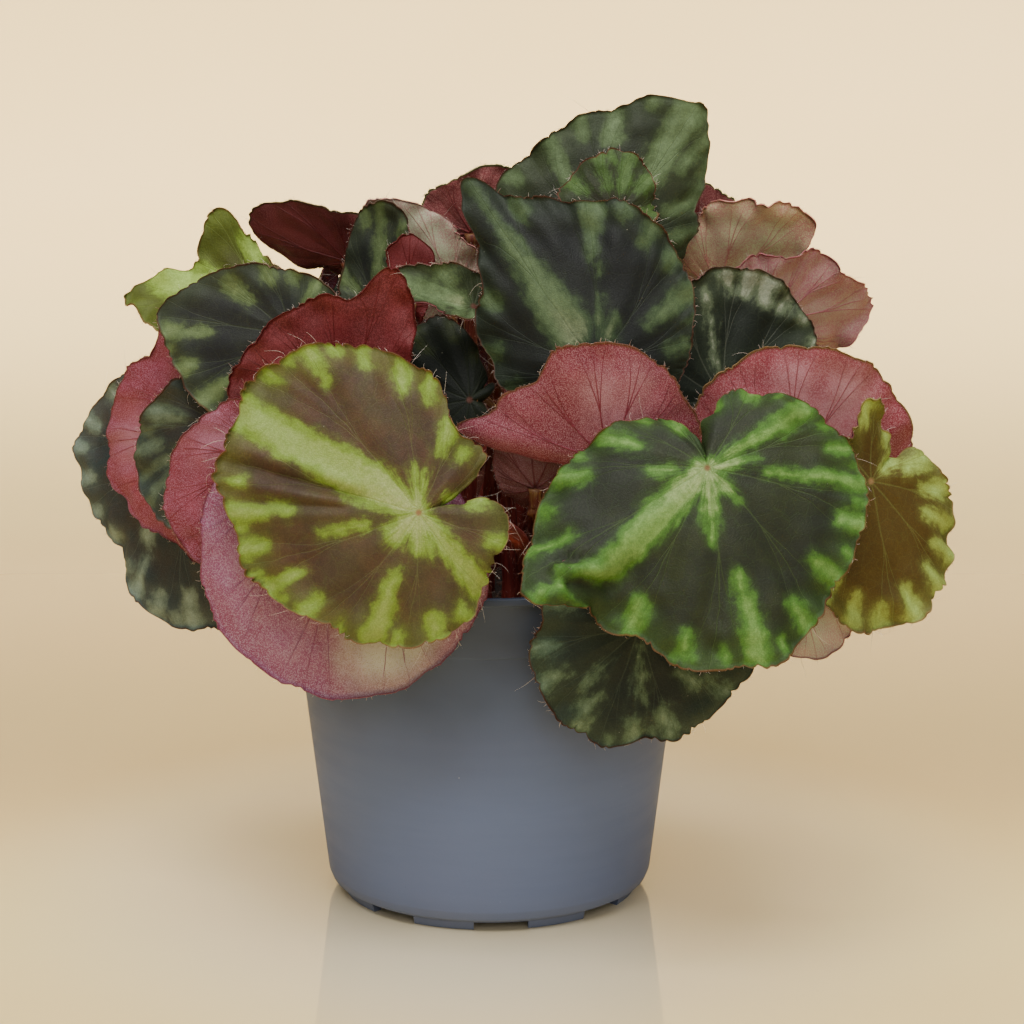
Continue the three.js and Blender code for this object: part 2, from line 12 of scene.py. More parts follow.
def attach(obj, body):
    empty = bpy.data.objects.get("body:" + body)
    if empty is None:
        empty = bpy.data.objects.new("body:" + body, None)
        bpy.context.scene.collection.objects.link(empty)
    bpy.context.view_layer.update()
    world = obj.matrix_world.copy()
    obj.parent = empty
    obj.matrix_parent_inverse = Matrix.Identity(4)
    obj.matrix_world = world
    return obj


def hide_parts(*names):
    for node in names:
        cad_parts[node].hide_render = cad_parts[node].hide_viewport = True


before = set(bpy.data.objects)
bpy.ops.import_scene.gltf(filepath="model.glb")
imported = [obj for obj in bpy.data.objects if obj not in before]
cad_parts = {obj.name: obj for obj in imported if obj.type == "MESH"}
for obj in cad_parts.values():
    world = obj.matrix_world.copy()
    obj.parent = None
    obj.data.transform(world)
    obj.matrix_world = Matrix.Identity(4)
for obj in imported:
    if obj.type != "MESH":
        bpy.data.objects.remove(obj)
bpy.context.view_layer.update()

MM = 0.001

# ---- the camera, as the photograph was taken ----------------------------------------------
CAMERA_PLACE = (0.0066, -1.054, 0.3587)
CAMERA_PITCH = 13.2
CAMERA_LENS = 132.65
CAMERA_SENSOR = 36
CAMERA_FAR = 20

# ---- the lights, metres -------------------------------------------------------------------
# Each by name, place, what it points at, size, power, colour and spread.
LIGHTS = [
    ("key", (-0.3, -1.3, 2.5), (0, 0, 0.12), (1.5, 1.2), 60, (1.0, 0.98, 0.95), 180),
    ("front", (0.25, -2.2, 1.1), (0, 0, 0.1), (1.2, 0.8), 11, (1.0, 0.98, 0.96), 180),
    ("top", (0.1, 0.0, 2.2), (0, 0.0, 0.1), (1.6, 1.3), 31, (1.0, 0.98, 0.96), 180),
    ("behind", (0, 1.1, 1.3), (0, 1.5, 0), (2.6, 0.6), 70, (1.0, 0.97, 0.93), 90),
]
WORLD_COLOUR = (0.96, 0.98, 1.0, 1.0)
WORLD_STRENGTH = 0.36

# ---- the table and backdrop, mm -----------------------------------------------------------
STAGE_HALF_WIDTH = 2400
STAGE_FRONT = -2600
STAGE_TURN = 1100  # where the table starts to bend up
STAGE_RADIUS = 700
STAGE_STEPS = 32
STAGE_TOP = 2600

# ---- the pot and the soil, mm -------------------------------------------------------------
POT_RIM_RADIUS = 60
POT_HEIGHT = 101
POT_WALL = 1.2
LIP_HEIGHT = 2.3
COLLAR_BOTTOM = 83
COLLAR_STEP = 0.7
WALL_RADIUS_TOP = 56
WALL_RADIUS_BOTTOM = 46.9
FILLET_TOP = 6.5
FOOT_RADIUS = 42.5
FOOT_WIDTH = 3
FOOT_HEIGHT = 2.5
FOOT_COUNT = 8
NOTCH_WIDTH = 15.5
NOTCH_TURN = 4.8
CENTRE_FOOT_RADIUS = 8
BASE_THICKNESS = 1.7
BASE_TOP = FOOT_HEIGHT + BASE_THICKNESS
DRAIN_RADIUS = 3
DRAIN_RING_RADIUS = 27
DRAIN_CUT = 16
DRAIN_SIDES = 28
POT_SEGMENTS = 192
CORNER_RADIUS = 0.45  # how far the mould rounds the pot's corners
CORNER_STEPS = 5
SHARP_ANGLE = 32  # degrees past which an edge of the pot stays sharp
GAP = 0.3  # between the soil and the pot
SOIL_LEVEL = 88
SOIL_DOME = 3
DOME_POWER = 2.2  # how flat the soil's dome is in the middle
SOIL_SPOKES = 160
SOIL_RINGS = 56
SOIL_WAVES = 9
SOIL_RELIEF = 0.55
SOIL_SINK = 0.35  # how far the uneven surface lies below the plain one
SOIL_SEED = 7
CRUMB_COUNT = 1100
CRUMB_SMALLEST = 0.45
CRUMB_SPREAD = 1.1
CRUMB_STRETCH = ((0.7, 1.9), (0.6, 1.2), (0.35, 0.8))
CRUMB_ROUGHNESS = 0.13
CRUMB_TILT = 0.3
CUBE_SHARE = 0.62  # where the corners of a crumb lie, as a share of its tips

# ---- the leaves, mm and degrees -----------------------------------------------------------
BLADE_MIDDLE = 0.66  # the blade's thickness beside the stalk
BLADE_EDGE = 0.42
RIM_ROUNDING = 0.4 * BLADE_EDGE  # how far the rim's middle stands out
SPOKES = 288
RINGS = 30
RING_POWER = 0.93  # draws the rings together towards the edge
SINUS_OPEN = 11
SINUS_EASE = 30
LOBE_FLOOR = 0.25  # the share of the radius that is left beside the sinus
TOOTH_PITCH = 3.6
TOOTH_DEPTH = 0.8
TOOTH_START = 0.8  # the share of the radius where the teeth begin to show
EDGE_WANDER = 0.45
BLADE_WAVES = (9, 0.45, 9, 26)  # how many, their height, shortest and longest
EDGE_WAVES = (8, 0.85, 6, 15)
QUILT = 0.6  # how far the blade swells between the veins
QUILT_WIDTH = 2.6
QUILT_START = 0.3  # the share of the radius where it is full
QUILT_END = 0.12  # the share over which it falls off at the edge
QUILT_LEFT = 0.25
VEIN_SPACING = 33
VEIN_JITTER = 0.12
VEIN_END_GAP = 9
VEIN_BOW = 0.16
FORK_START = 0.42
FORK_SPREAD = 0.27
FORK_CLEAR = 0.32  # how far from the sinus a fork stays, as a share of the veins' spacing
FORK_REACH = 0.3
RIDGE_STEPS = 26
RIDGE_TAPER = 0.7
RIDGE_SIDES = 6
# Raised veins: the shares of the blade's radius where they start and end, and how thick there.
MAIN_RIDGE = (0.04, 0.9, 0.34, 0.08)
FORK_RIDGE = (FORK_START, 0.93, 0.187, 0.06)
NO_LIGHT = -6.0  # the light pattern's depth far from any patch
STALK_SIDES = 14
STALK_STEPS = 44
STALK_RADIUS_FOOT = 2.7
STALK_RADIUS_TOP = 1.8
STALK_FLARE = 1.25
STALK_RISE = 28
STALK_BELOW = 12
STALK_BESIDE = 10
STALK_DEPTH = 10
STALK_FOOT = 2  # how far over the soil's level its curve starts
STALK_SHORT = 0.1  # how far below the blade's middle it ends
STALK_TRIM = 9  # how far from its end it is cut to the blade's plane
CURVE_STEPS = 200
BURIED_STEPS = 4
ROOT_RINGS = (9.5, 20.5, 33)
HAIR_STEPS = 6
HAIR_SIDES = 3
BRISTLES = 170  # short hairs along each edge
BRISTLE_LENGTH = (0.25, 1.0)
WISPS = 7  # long hairs among them, where a leaf states no other number
WISP_LENGTH = (1.6, 4.4)
HAIR_LEAN = (0.55, 0.4)  # along the edge and off the blade
HAIR_CURL = (0.4, 1.5)
BRISTLE_THICK = 0.06
WISP_THICK = 0.05
WISP_TINT = 0.5
STALK_HAIRS = 110
STALK_HAIR_LENGTH = (0.9, 2.6)
STALK_HAIR_THICK = 0.045
STALK_HAIR_TINT = 0.15
LEAF_SEED = 100
PATTERN_STEP = 137.0  # keeps the leaves' patterns apart
DROOP = [(0, 14, -30, 24)]
HIGH_DROOP = [(0, 12, -24, 20)]

# Each leaf from the photograph, and then those that close the plant at the back and the sides.
# at: the stalk's end. face: turn and tilt of the upper face. spin: turn of the tip in the blade's
# plane. size, off: half length and width of the outline, and its middle. sinus: its direction.
# cup: height of the edge. ruffle: height, count and phase of the edge's waves. ring: where it is
# rooted. bulges, waves, notches: direction, width and height, in the outline, the surface and the
# fine edge. bends: direction, start, angle and arc. source, rise: how the stalk comes in and starts.
# upper, under: colours. teeth, frill, quilt: strength of these. wisps: long hairs along the edge.
# spokes: how many points the edge has, if not the usual number.
# creases: first and last (direction, percent of the radius), half width and height.
# streaks: the light patches, by direction, inner and outer percent of the radius, half width at
# both ends, and the outer end's direction where it differs. Leaves without them get drawn ones.
LEAVES = {
    "front_left": dict(
        at=(-18, -84, 131), face=(-4, 16), spin=165, size=(40, 38), off=(15, 0), sinus=-142, cup=-6,
        ruffle=(1.2, 7, 0), ring=2,
        bulges=[(-101, 18, -8), (-38, 22, 5), (20, 14, -4), (60, 16, -3), (120, 24, 5)],
        waves=[(0, 14, 5), (-95, 14, 3)], source=(30, 8, -8), upper="brown", under="mauve", wisps=56,
        teeth=1.6, spokes=520,
        notches=[
            (5, 5, 3), (-30, 3, -1.2), (166, 22, -2.6), (-97, 12, -2.2), (-22, 10, 1.6), (118, 18, -1.4),
        ],
        creases=[
            ((-5, 35), (-4, 100), 2.2, 0.8), ((2, 30), (1, 100), 2, -1.7), ((7, 40), (7, 100), 1.5, 0.9),
            ((12, 40), (12, 95), 1.4, -0.8), ((17, 40), (17, 90), 1.8, 0.5),
        ],
        streaks=[
            (-14, 5, 30, 3.4, 6), (-14, 30, 60, 6, 4.8), (-13, 60, 97, 4.8, 4.5), (-68, 5, 30, 2.1, 0.5),
            (60, 2, 20, 3.2, 3.2), (105, 2, 24, 3.2, 2.6), (-82, 12, 32, 1.3, 0.5), (53, 2, 22, 2.6, 1.1),
            (125, 4, 34, 2.6, 0.8), (28, 30, 54, 1.3, 0.8), (146, 5, 92, 2.2, 3.6), (85, 46, 92, 1.3, 3.7),
            (15, 68, 97, 1.1, 2.4), (27, 88, 97, 1.6, 2.4), (42, 74, 96, 0.8, 2.4), (56, 84, 96, 1.1, 1.9),
            (6, 89, 91, 1, 1.1), (20, 96, 97, 0.8, 0.8), (36, 96, 97, 0.8, 0.8), (48, 95, 97, 0.9, 0.9),
            (70, 93, 95, 0.9, 0.9), (96, 92, 94, 1.5, 1.5), (114, 82, 93, 2.4, 2.4),
            (129, 86, 92, 1.6, 1.6), (175, 84, 90, 1.9, 1.9), (-152, 84, 96, 1.9, 2.1),
            (-136, 80, 85, 1.1, 1.1), (-109, 74, 80, 1.3, 1.3), (-93, 62, 88, 1.1, 2.4),
            (-78, 84, 93, 1.3, 1.6), (-66, 78, 93, 1.1, 2.1), (-54, 88, 96, 1.3, 2),
            (-46, 96, 98, 1.3, 1.3), (-39, 80, 97, 1.1, 2.4), (-33, 97, 98, 0.9, 0.9),
            (-27, 92, 97, 1.2, 1.5),
        ],
    ),
    "front_right": dict(
        at=(58, -84, 143), face=(4, 30), spin=211, size=(47, 36), off=(9, 12), sinus=-116, cup=-7,
        ruffle=(1.2, 6, 40), ring=2,
        bulges=[(36, 10, -10), (20, 9, -9), (78, 14, 5), (-100, 16, -6), (-28, 20, 3), (3, 7, 6)],
        waves=[(6, 9, 8), (22, 9, -5)], source=(0, 12, -26), upper="bright", wisps=12, teeth=1.2,
        spokes=520, notches=[(14.5, 3, -2.5)],
        creases=[
            ((11, 73), (7, 74), 1.5, 1.4), ((7, 74), (3, 80), 1.4, 1.5), ((3, 80), (8, 89), 1.4, 1.5),
            ((8, 89), (14, 100), 1.3, 1.4), ((7, 69), (0, 77), 1.4, -1.3), ((9, 85), (17, 81), 2, -1.6),
            ((17, 81), (21, 66), 2.4, -1.2),
        ],
        streaks=[
            (13, 4, 35, 3.8, 4.6), (13, 35, 72, 4.6, 3.4), (11, 73, 74, 2.4, 1.3, 7),
            (7, 74, 80, 1.3, 1.1, 3), (3, 80, 89, 1.1, 1, 8), (8, 89, 100, 1, 0.7, 14),
            (-6, 86, 96, 1.4, 1.6), (60, 4, 36, 3, 1.2), (100, 4, 26, 2.4, 0.8), (159, 4, 34, 2.4, 0.5),
            (-179, 12, 93, 1.1, 2.9), (145, 38, 97, 0.8, 2.4), (129, 86, 96, 1.9, 2.9),
            (108, 82, 95, 1.8, 2.9), (160, 84, 95, 1.1, 1.9), (171, 93, 96, 1.6, 1.6),
            (137, 95, 97, 1.2, 1.2), (152, 95, 97, 1.1, 1.1), (118, 95, 97, 1.1, 1.1),
            (72, 56, 93, 1.6, 3.7), (80, 92, 94, 1.3, 1.3), (90, 84, 95, 1.6, 2.6), (62, 93, 95, 1.3, 1.3),
            (50, 84, 93, 1.6, 2.4), (31, 82, 94, 2.1, 2.9), (-18, 93, 95, 2.1, 2.1),
            (-31, 78, 96, 1.3, 2.5), (-41, 96, 97, 1.3, 1.3), (-53, 62, 94, 1.3, 2.1),
            (-78, 94, 96, 1.6, 1.6), (-92, 78, 96, 1.3, 1.6), (-133, 94, 96, 1.3, 1.3),
            (-152, 92, 95, 2.1, 2.1), (-166, 94, 96, 0.8, 0.8), (-29, 22, 36, 1.3, 1.1),
            (-6, 76, 96, 1, 1.6), (6, 93, 97, 1.3, 1.3),
        ],
    ),
    "low_right": dict(
        at=(41, -68, 95), face=(3, 8), spin=251, size=(30, 29), off=(4, 1), sinus=168, cup=-5,
        ruffle=(1, 7, 0), ring=2, bulges=[(-74, 12, -3), (23, 12, -3), (88, 14, 4)], source=(0, 10, 22),
        rise=34, upper="silver", teeth=1.3, spokes=440,
        streaks=[
            (-12, 82, 93, 1.7, 2.2), (-14, 66, 76, 1.2, 1.9), (16, 80, 95, 1.6, 2.4),
            (35, 74, 93, 1.7, 2.5), (63, 52, 68, 1, 1.6), (-41, 74, 93, 1.2, 2.2), (-60, 82, 94, 1.4, 1.6),
            (20, 20, 60, 0.5, 1.1), (-24, 40, 66, 0.5, 1.1), (72, 78, 93, 1.4, 1.8), (5, 94, 96, 1.1, 1.1),
            (27, 95, 97, 1.1, 1.1), (95, 70, 94, 1.2, 2.2), (120, 80, 94, 1.2, 2), (-90, 70, 94, 1.2, 2.2),
        ],
    ),
    "low_left_pink": dict(
        at=(-36, -69, 139), face=(180, -8), spin=283, size=(41, 40), off=(21, -3), sinus=-150, cup=6,
        ruffle=(0.8, 5, 0), ring=2, bulges=[(-100, 26, -9)], source=(10, 10, 4), under="mauve", frill=0.4,
        quilt=0.35, streaks=[(-26, 45, 88, 12, 15), (-50, 60, 80, 8, 9)],
    ),
    "right_olive": dict(
        at=(103, -64, 135), face=(25, 10), spin=279, size=(27, 25), off=(14, 0), sinus=-128, cup=-3,
        ruffle=(1.4, 6, 0), ring=2, bulges=[(171, 16, 9), (116, 12, -7)], waves=[(170, 17, 10)],
        source=(-8, 12, -30), rise=16, upper="olive", wisps=26, teeth=1.5, frill=1.3, spokes=440,
        streaks=[
            (51, 62, 90, 1.2, 2.4), (38, 78, 95, 1.1, 2.2), (24, 78, 95, 1.1, 2.2), (8, 78, 94, 1.1, 2.4),
            (-6, 84, 95, 1.1, 2.2), (-20, 80, 94, 1.2, 2.2), (-36, 74, 94, 1.2, 2), (70, 66, 90, 1.4, 2.4),
            (92, 60, 90, 1.4, 2.4), (113, 56, 88, 1.4, 2.2), (176, 80, 94, 1.2, 2.2), (140, 80, 94, 1.2, 2),
        ],
    ),
    "pale_right": dict(
        at=(85, -60, 109), face=(170, -5), spin=259, size=(21, 15), off=(4, 0), sinus=178, cup=2,
        ruffle=(1, 5, 60), ring=2, source=(-6, 12, 12), rise=30, under="blush",
    ),
    "centre_pink": dict(
        at=(32, -64, 141), face=(182, 14), spin=82, size=(29, 29), off=(5, -3), sinus=-178, cup=6,
        ruffle=(0.6, 5, 0), ring=2,
        bulges=[(-73, 8, 12), (-112, 32, -22), (-36, 14, -6), (4, 30, -2), (60, 20, -2)],
        source=(0, 6, -20), under="ruby", frill=0.35, quilt=0.35,
        streaks=[(5, 45, 60, 4, 5), (28, 60, 75, 4, 4)],
    ),
    "right_pink": dict(
        at=(82, -50, 134), face=(192, 8), spin=125, size=(30, 34), off=(6, 2), sinus=173, cup=6,
        ruffle=(1.2, 7, 20), ring=2, bulges=[(155, 50, -17)], source=(0, 6, -20), rise=38, under="rose",
        frill=0.5, quilt=0.4, streaks=[(2, 50, 80, 5, 8), (-30, 60, 78, 4, 5)],
    ),
    "left_outer": dict(
        at=(-88, -3, 127), face=(-30, 3), spin=238, size=(39, 44), off=(5, 10), sinus=173, cup=-5,
        ruffle=(1.2, 6, 0), ring=2, bulges=[(-8, 6, -4), (22, 14, 3), (106, 38, -23), (-62, 20, 3)],
        upper="outer",
        streaks=[
            (-70, 86, 96, 1.5, 2.3), (-57, 92, 96, 1.2, 1.5), (-44, 88, 96, 1.5, 2),
            (-28, 92, 97, 1.2, 1.7), (-14, 88, 95, 1.7, 2.6), (1, 88, 95, 1.2, 1.7), (9, 72, 96, 1.3, 2.6),
            (20, 84, 95, 1.7, 2.6), (34, 78, 95, 1.8, 3.2), (28, 93, 96, 1.2, 1.2), (60, 60, 94, 1.4, 2.4),
            (-90, 80, 94, 1.4, 2.2), (4, 10, 60, 2, 2.6),
        ],
    ),
    "left_pink_outer": dict(
        at=(-76, -22, 138), face=(156, 0), spin=326, size=(38, 36), off=(0, -2), sinus=173, cup=3,
        ruffle=(0.8, 5, 0), ring=2,
        bulges=[(102, 9, 8), (78, 12, -3), (13, 12, 2), (-27, 10, -2), (-146, 40, -14)],
        source=(14, 6, -10), under="coral", frill=0.6, quilt=0.3, streaks=[(28, 60, 84, 6, 7)],
    ),
    "left_mid": dict(
        at=(-75, -31, 144), face=(-20, 5), spin=223, size=(25, 21), off=(7, 4), sinus=137, cup=0,
        ruffle=(1, 5, 0), ring=2, source=(30, -7, -11), upper="mid",
        streaks=[
            (-7, 40, 95, 0.8, 1.1), (6, 70, 96, 1, 1.4), (-48, 52, 84, 1.6, 3), (-21, 70, 94, 1.2, 1.7),
            (24, 60, 94, 1, 1.4), (-34, 84, 95, 1, 1.4),
        ],
    ),
    "left_mid_pink": dict(
        at=(-60, -59, 140), face=(170, -5), spin=334, size=(27, 24), off=(5, -6), sinus=-179, cup=0,
        ruffle=(0.8, 6, 0), ring=2, source=(14, -2, -18), under="coral", frill=0.7, quilt=0.3,
        streaks=[(48, 50, 84, 5, 7)],
    ),
    "upper_left_dark": dict(
        at=(-54, -36, 170), face=(-20, 18), spin=176, size=(30, 22), off=(8, 4), sinus=-172, cup=1,
        ruffle=(1, 5, 0), ring=1, bulges=[(25, 12, -3), (-3, 8, 4)], upper="dusk",
        streaks=[
            (7, 62, 95, 1.2, 2.2), (-29, 56, 80, 1.7, 2.5), (25, 86, 96, 1.1, 2.2), (44, 66, 94, 1.2, 3),
            (-59, 78, 92, 1.4, 1.6), (14, 96, 98, 0.8, 0.8), (-110, 58, 90, 1.1, 1.9),
            (80, 50, 93, 1.2, 2.6), (-84, 86, 95, 1.4, 1.6),
        ],
    ),
    "upper_left_pink": dict(
        at=(-40, -50, 154), face=(176, -4), spin=51, size=(27, 38), off=(1, -2), sinus=176, cup=-1,
        ruffle=(0.8, 7, 0), ring=1,
        bulges=[(46, 8, -3), (-80, 26, -12), (-140, 30, -16), (118, 38, -17), (62, 12, 8)],
        source=(0, 6, -20), under="wine", frill=0.8, quilt=0.3, streaks=[(-18, 60, 84, 5, 6)],
    ),
    "yellow_small": dict(
        at=(-66, 2, 173), face=(-20, 40), spin=184, size=(20, 18), off=(14, -1), sinus=180, cup=2,
        ruffle=(2, 5, 0), ring=1, bulges=[(-1, 8, 7), (-28, 14, -8), (-63, 14, 7)], waves=[(-63, 20, 6)],
        source=(6, 4, -14), upper="yellow", teeth=1.7, frill=1.7, wisps=10,
        streaks=[(-15, 20, 92, 4, 7), (-80, 70, 95, 2, 4), (40, 50, 90, 3, 5), (95, 60, 90, 2, 4)],
    ),
    "red_upper_left": dict(
        at=(-41, 26, 180), face=(172, 25), spin=18, size=(25, 11), off=(6, 4), sinus=171, cup=2,
        ruffle=(1, 5, 0), ring=1, source=(4, -2, -16), under="crimson",
    ),
    "upright_fold": dict(
        at=(-31, -10, 173), face=(-30, 10), spin=87, size=(24, 12), off=(6, 0), sinus=-169, cup=3,
        ruffle=(1, 5, 0), ring=1, upper="dusk",
        streaks=[
            (3, 30, 95, 1.8, 1.3), (-16, 82, 93, 1.1, 1.1), (13, 84, 94, 0.8, 0.8), (60, 60, 93, 1, 1.6),
            (-60, 60, 93, 1, 1.6),
        ],
    ),
    "pale_pink": dict(
        at=(-11, 12, 176), face=(188, 20), spin=67, size=(20, 15), off=(7, -4), sinus=174, cup=3,
        ruffle=(1.2, 6, 0), ring=0, bulges=[(-20, 14, 8), (-65, 24, -6), (30, 24, -4), (180, 40, -6)],
        source=(0, 6, -20), under="silver",
    ),
    "red_back_top": dict(
        at=(-5, 22, 189), face=(182, 20), spin=95, size=(20, 22), off=(0, 6), sinus=176, cup=3,
        ruffle=(1.2, 5, 0), ring=1, source=(0, 6, -20), under="scarlet",
    ),
    "silver_fold": dict(
        at=(-4, -38, 178), face=(26, 35), spin=166, size=(21, 7.5), off=(4, -3), sinus=160, cup=3,
        ruffle=(1, 5, 0), ring=0, bulges=[(0, 8, 3), (180, 40, -5)], source=(12, 14, -12), upper="green",
        streaks=[
            (-8, 20, 92, 3.8, 3), (-40, 60, 90, 2.2, 2.2), (40, 70, 93, 1.2, 2), (80, 60, 93, 1.2, 2),
        ],
    ),
    "red_flap": dict(
        at=(-22, -22, 176), face=(176, 0), spin=91, size=(13, 6.5), off=(6, 0), sinus=175, cup=1,
        ruffle=(0.6, 5, 0), ring=1, bulges=[(-25, 10, 2), (25, 10, 2)], source=(0, 2, -14), under="wine",
        quilt=0.3,
    ),
    "gap_pink": dict(
        at=(13, -46, 129), face=(176, 0), spin=83, size=(12, 11), off=(6, 0), sinus=175, cup=2,
        ruffle=(0.6, 5, 0), ring=1, source=(0, 2, -14), under="plum_in_shade",
    ),
    "red_right_top": dict(
        at=(62, 39, 183), face=(178, 10), spin=82, size=(14, 13), off=(4, 0), sinus=178, cup=2,
        ruffle=(0.8, 6, 0), ring=1, source=(-12, 4, -14), under="scarlet",
    ),
    "centre_dark": dict(
        at=(-5, -38, 152), face=(-10, 18), spin=131, size=(19, 22), off=(9, 5), sinus=-80, cup=-2,
        ruffle=(1, 6, 0), ring=1, bulges=[(-131, 35, -8), (-55, 24, -9)], upper="shade",
        streaks=[
            (3, 66, 90, 1.2, 1.9), (-23, 78, 93, 1.4, 1.9), (-45, 84, 93, 1.2, 1.6), (30, 70, 93, 1.2, 2),
            (70, 60, 93, 1, 1.8), (110, 60, 93, 1, 1.8),
        ],
    ),
    "top_centre": dict(
        at=(29, -57, 165), face=(-3, 14), spin=125, size=(34, 29), off=(17, -7), sinus=-169, cup=-7,
        ruffle=(1, 6, 0), ring=0, bulges=[(1, 6, 14), (-25, 14, -5), (20, 9, -5), (63, 14, 3)],
        waves=[(1, 8, -3)], upper="dark", spokes=440,
        streaks=[
            (0, 20, 72, 6.2, 1.9), (0, 72, 97, 1.4, 0.8), (-55, 22, 32, 2.4, 1.3), (-33, 66, 96, 1.1, 3.5),
            (-38, 28, 40, 1.3, 0.5), (-36, 56, 60, 0.8, 0.8), (-45, 93, 96, 1.9, 1.9),
            (-56, 86, 95, 1.9, 2.4), (-69, 92, 96, 2.4, 2.4), (-85, 54, 95, 1.2, 3.5),
            (-110, 76, 93, 1.4, 1.6), (-98, 95, 97, 0.9, 0.9), (23, 90, 94, 2.2, 2.2),
            (47, 90, 94, 2.2, 2.2), (-9, 90, 95, 2, 2), (70, 92, 95, 1.8, 1.8), (100, 80, 95, 1, 2.2),
            (140, 70, 95, 1, 2.2),
        ],
    ),
    "top_back": dict(
        at=(32, 8, 186), face=(5, 14), spin=55, size=(44, 27), off=(5, 5), sinus=169, cup=-6,
        ruffle=(1.2, 7, 0), ring=0, bulges=[(26, 14, -4), (-3, 7, 5), (-30, 10, -3), (85, 12, 3)],
        upper="green",
        streaks=[
            (1, 10, 54, 2, 4), (1, 54, 95, 4, 4.6), (58, 40, 94, 1.6, 2.3), (83, 90, 96, 2, 2),
            (42, 88, 96, 2.3, 2.3), (28, 80, 97, 2.9, 2), (14, 95, 97, 1.4, 1.4), (-10, 72, 95, 1.4, 2.3),
            (-26, 66, 96, 1.7, 2.6), (-4, 95, 97, 1.7, 1.7), (-18, 94, 97, 1.7, 1.7),
            (-45, 70, 95, 1.2, 2.2), (-70, 50, 95, 1, 2.4), (-100, 70, 95, 1.2, 2.2),
            (110, 60, 95, 1.2, 2.4),
        ],
    ),
    "small_mid": dict(
        at=(36, -8, 199), face=(0, 20), spin=84, size=(16, 13), off=(3, 2), sinus=-174, cup=-2,
        ruffle=(0.8, 6, 0), ring=0, bulges=[(73, 12, 2), (23, 12, -2)], upper="young", wisps=12, teeth=1.4,
        streaks=[
            (23, 50, 96, 1.2, 1.2), (-5, 40, 96, 1.6, 1.8), (-37, 60, 93, 1.4, 2), (10, 86, 92, 1.4, 1.4),
            (60, 70, 93, 1.1, 1.6), (-80, 60, 93, 1.1, 1.6),
        ],
    ),
    "right_pink_upper": dict(
        at=(67, 27, 171), face=(172, 30), spin=130, size=(26, 16), off=(10, -3), sinus=178, cup=3,
        ruffle=(2, 7, 60), ring=1, bulges=[(12, 8, 4), (-40, 10, 3)], source=(0, 6, -20), rise=42,
        under="faded", teeth=1.8, frill=1.5,
    ),
    "right_pink_lower": dict(
        at=(81, 0, 167), face=(198, 18), spin=172, size=(32, 20), off=(-2, 0), sinus=178, cup=3,
        ruffle=(1.8, 7, 90), ring=1, bulges=[(-22, 12, -3), (5, 8, 3)], source=(0, 6, -20), rise=40,
        under="pale", teeth=1.8, frill=1.5,
    ),
    "right_dark_blue": dict(
        at=(65, -26, 150), face=(20, 20), spin=45, size=(29, 27), off=(7, 4), sinus=-172, cup=4,
        ruffle=(1, 6, 0), ring=1, upper="slate",
        streaks=[
            (50, 20, 86, 0.6, 0.8), (36, 90, 95, 2.6, 2.8), (26, 86, 95, 3.2, 3.6), (16, 84, 95, 3, 3.6),
            (5, 88, 96, 2.4, 2.8), (-8, 93, 97, 1.4, 1.8), (-20, 93, 97, 1, 1.2), (80, 60, 93, 1.4, 2.4),
            (-60, 60, 93, 1.4, 2.4),
        ],
    ),
    "back_low": dict(
        at=(8, 76, 122), face=(178, 35), spin=252, size=(38, 36), off=(13, 3), sinus=-140, cup=-7,
        ruffle=(1.2, 7, 0), ring=2, bends=DROOP,
    ),
    "back_low_left": dict(
        at=(-62, 58, 123), face=(228, 28), spin=232, size=(36, 34), off=(12, 3), sinus=-145, cup=-7,
        ruffle=(1.2, 6, 0), ring=2, bends=DROOP,
    ),
    "back_low_right": dict(
        at=(70, 54, 128), face=(130, 30), spin=300, size=(36, 34), off=(12, -3), sinus=142, cup=-7,
        ruffle=(1.2, 6, 50), ring=2, bends=DROOP,
    ),
    "back_high": dict(
        at=(4, 56, 170), face=(178, 42), spin=275, size=(32, 32), off=(11, 3), sinus=-145, cup=-6,
        ruffle=(1.2, 7, 0), ring=1, bends=HIGH_DROOP,
    ),
    "back_high_left": dict(
        at=(-54, 42, 166), face=(232, 38), spin=240, size=(26, 25), off=(9, 2), sinus=-142, cup=-6,
        ruffle=(1.2, 6, 0), ring=1, bends=[(0, 12, -14, 20)],
    ),
    "back_high_right": dict(
        at=(64, 52, 152), face=(135, 40), spin=285, size=(28, 26), off=(9, -2), sinus=145, cup=-6,
        ruffle=(1.2, 6, 30), ring=1, bends=HIGH_DROOP,
    ),
    "right_side": dict(
        at=(98, -4, 126), face=(88, 22), spin=265, size=(32, 30), off=(10, 3), sinus=-142, cup=-7,
        ruffle=(1.2, 6, 0), ring=2, bends=DROOP,
    ),
    "left_side": dict(
        at=(-90, 36, 128), face=(268, 22), spin=275, size=(32, 30), off=(10, -3), sinus=142, cup=-7,
        ruffle=(1.2, 6, 0), ring=2, bends=DROOP,
    ),
}


def linear(value):
    share = value / 255
    return share / 12.92 if share <= 0.04045 else ((share + 0.055) / 1.055) ** 2.4


def srgb(red, green, blue):
    """A colour from its 0 to 255 display values, as linear light."""
    return (linear(red), linear(green), linear(blue), 1.0)


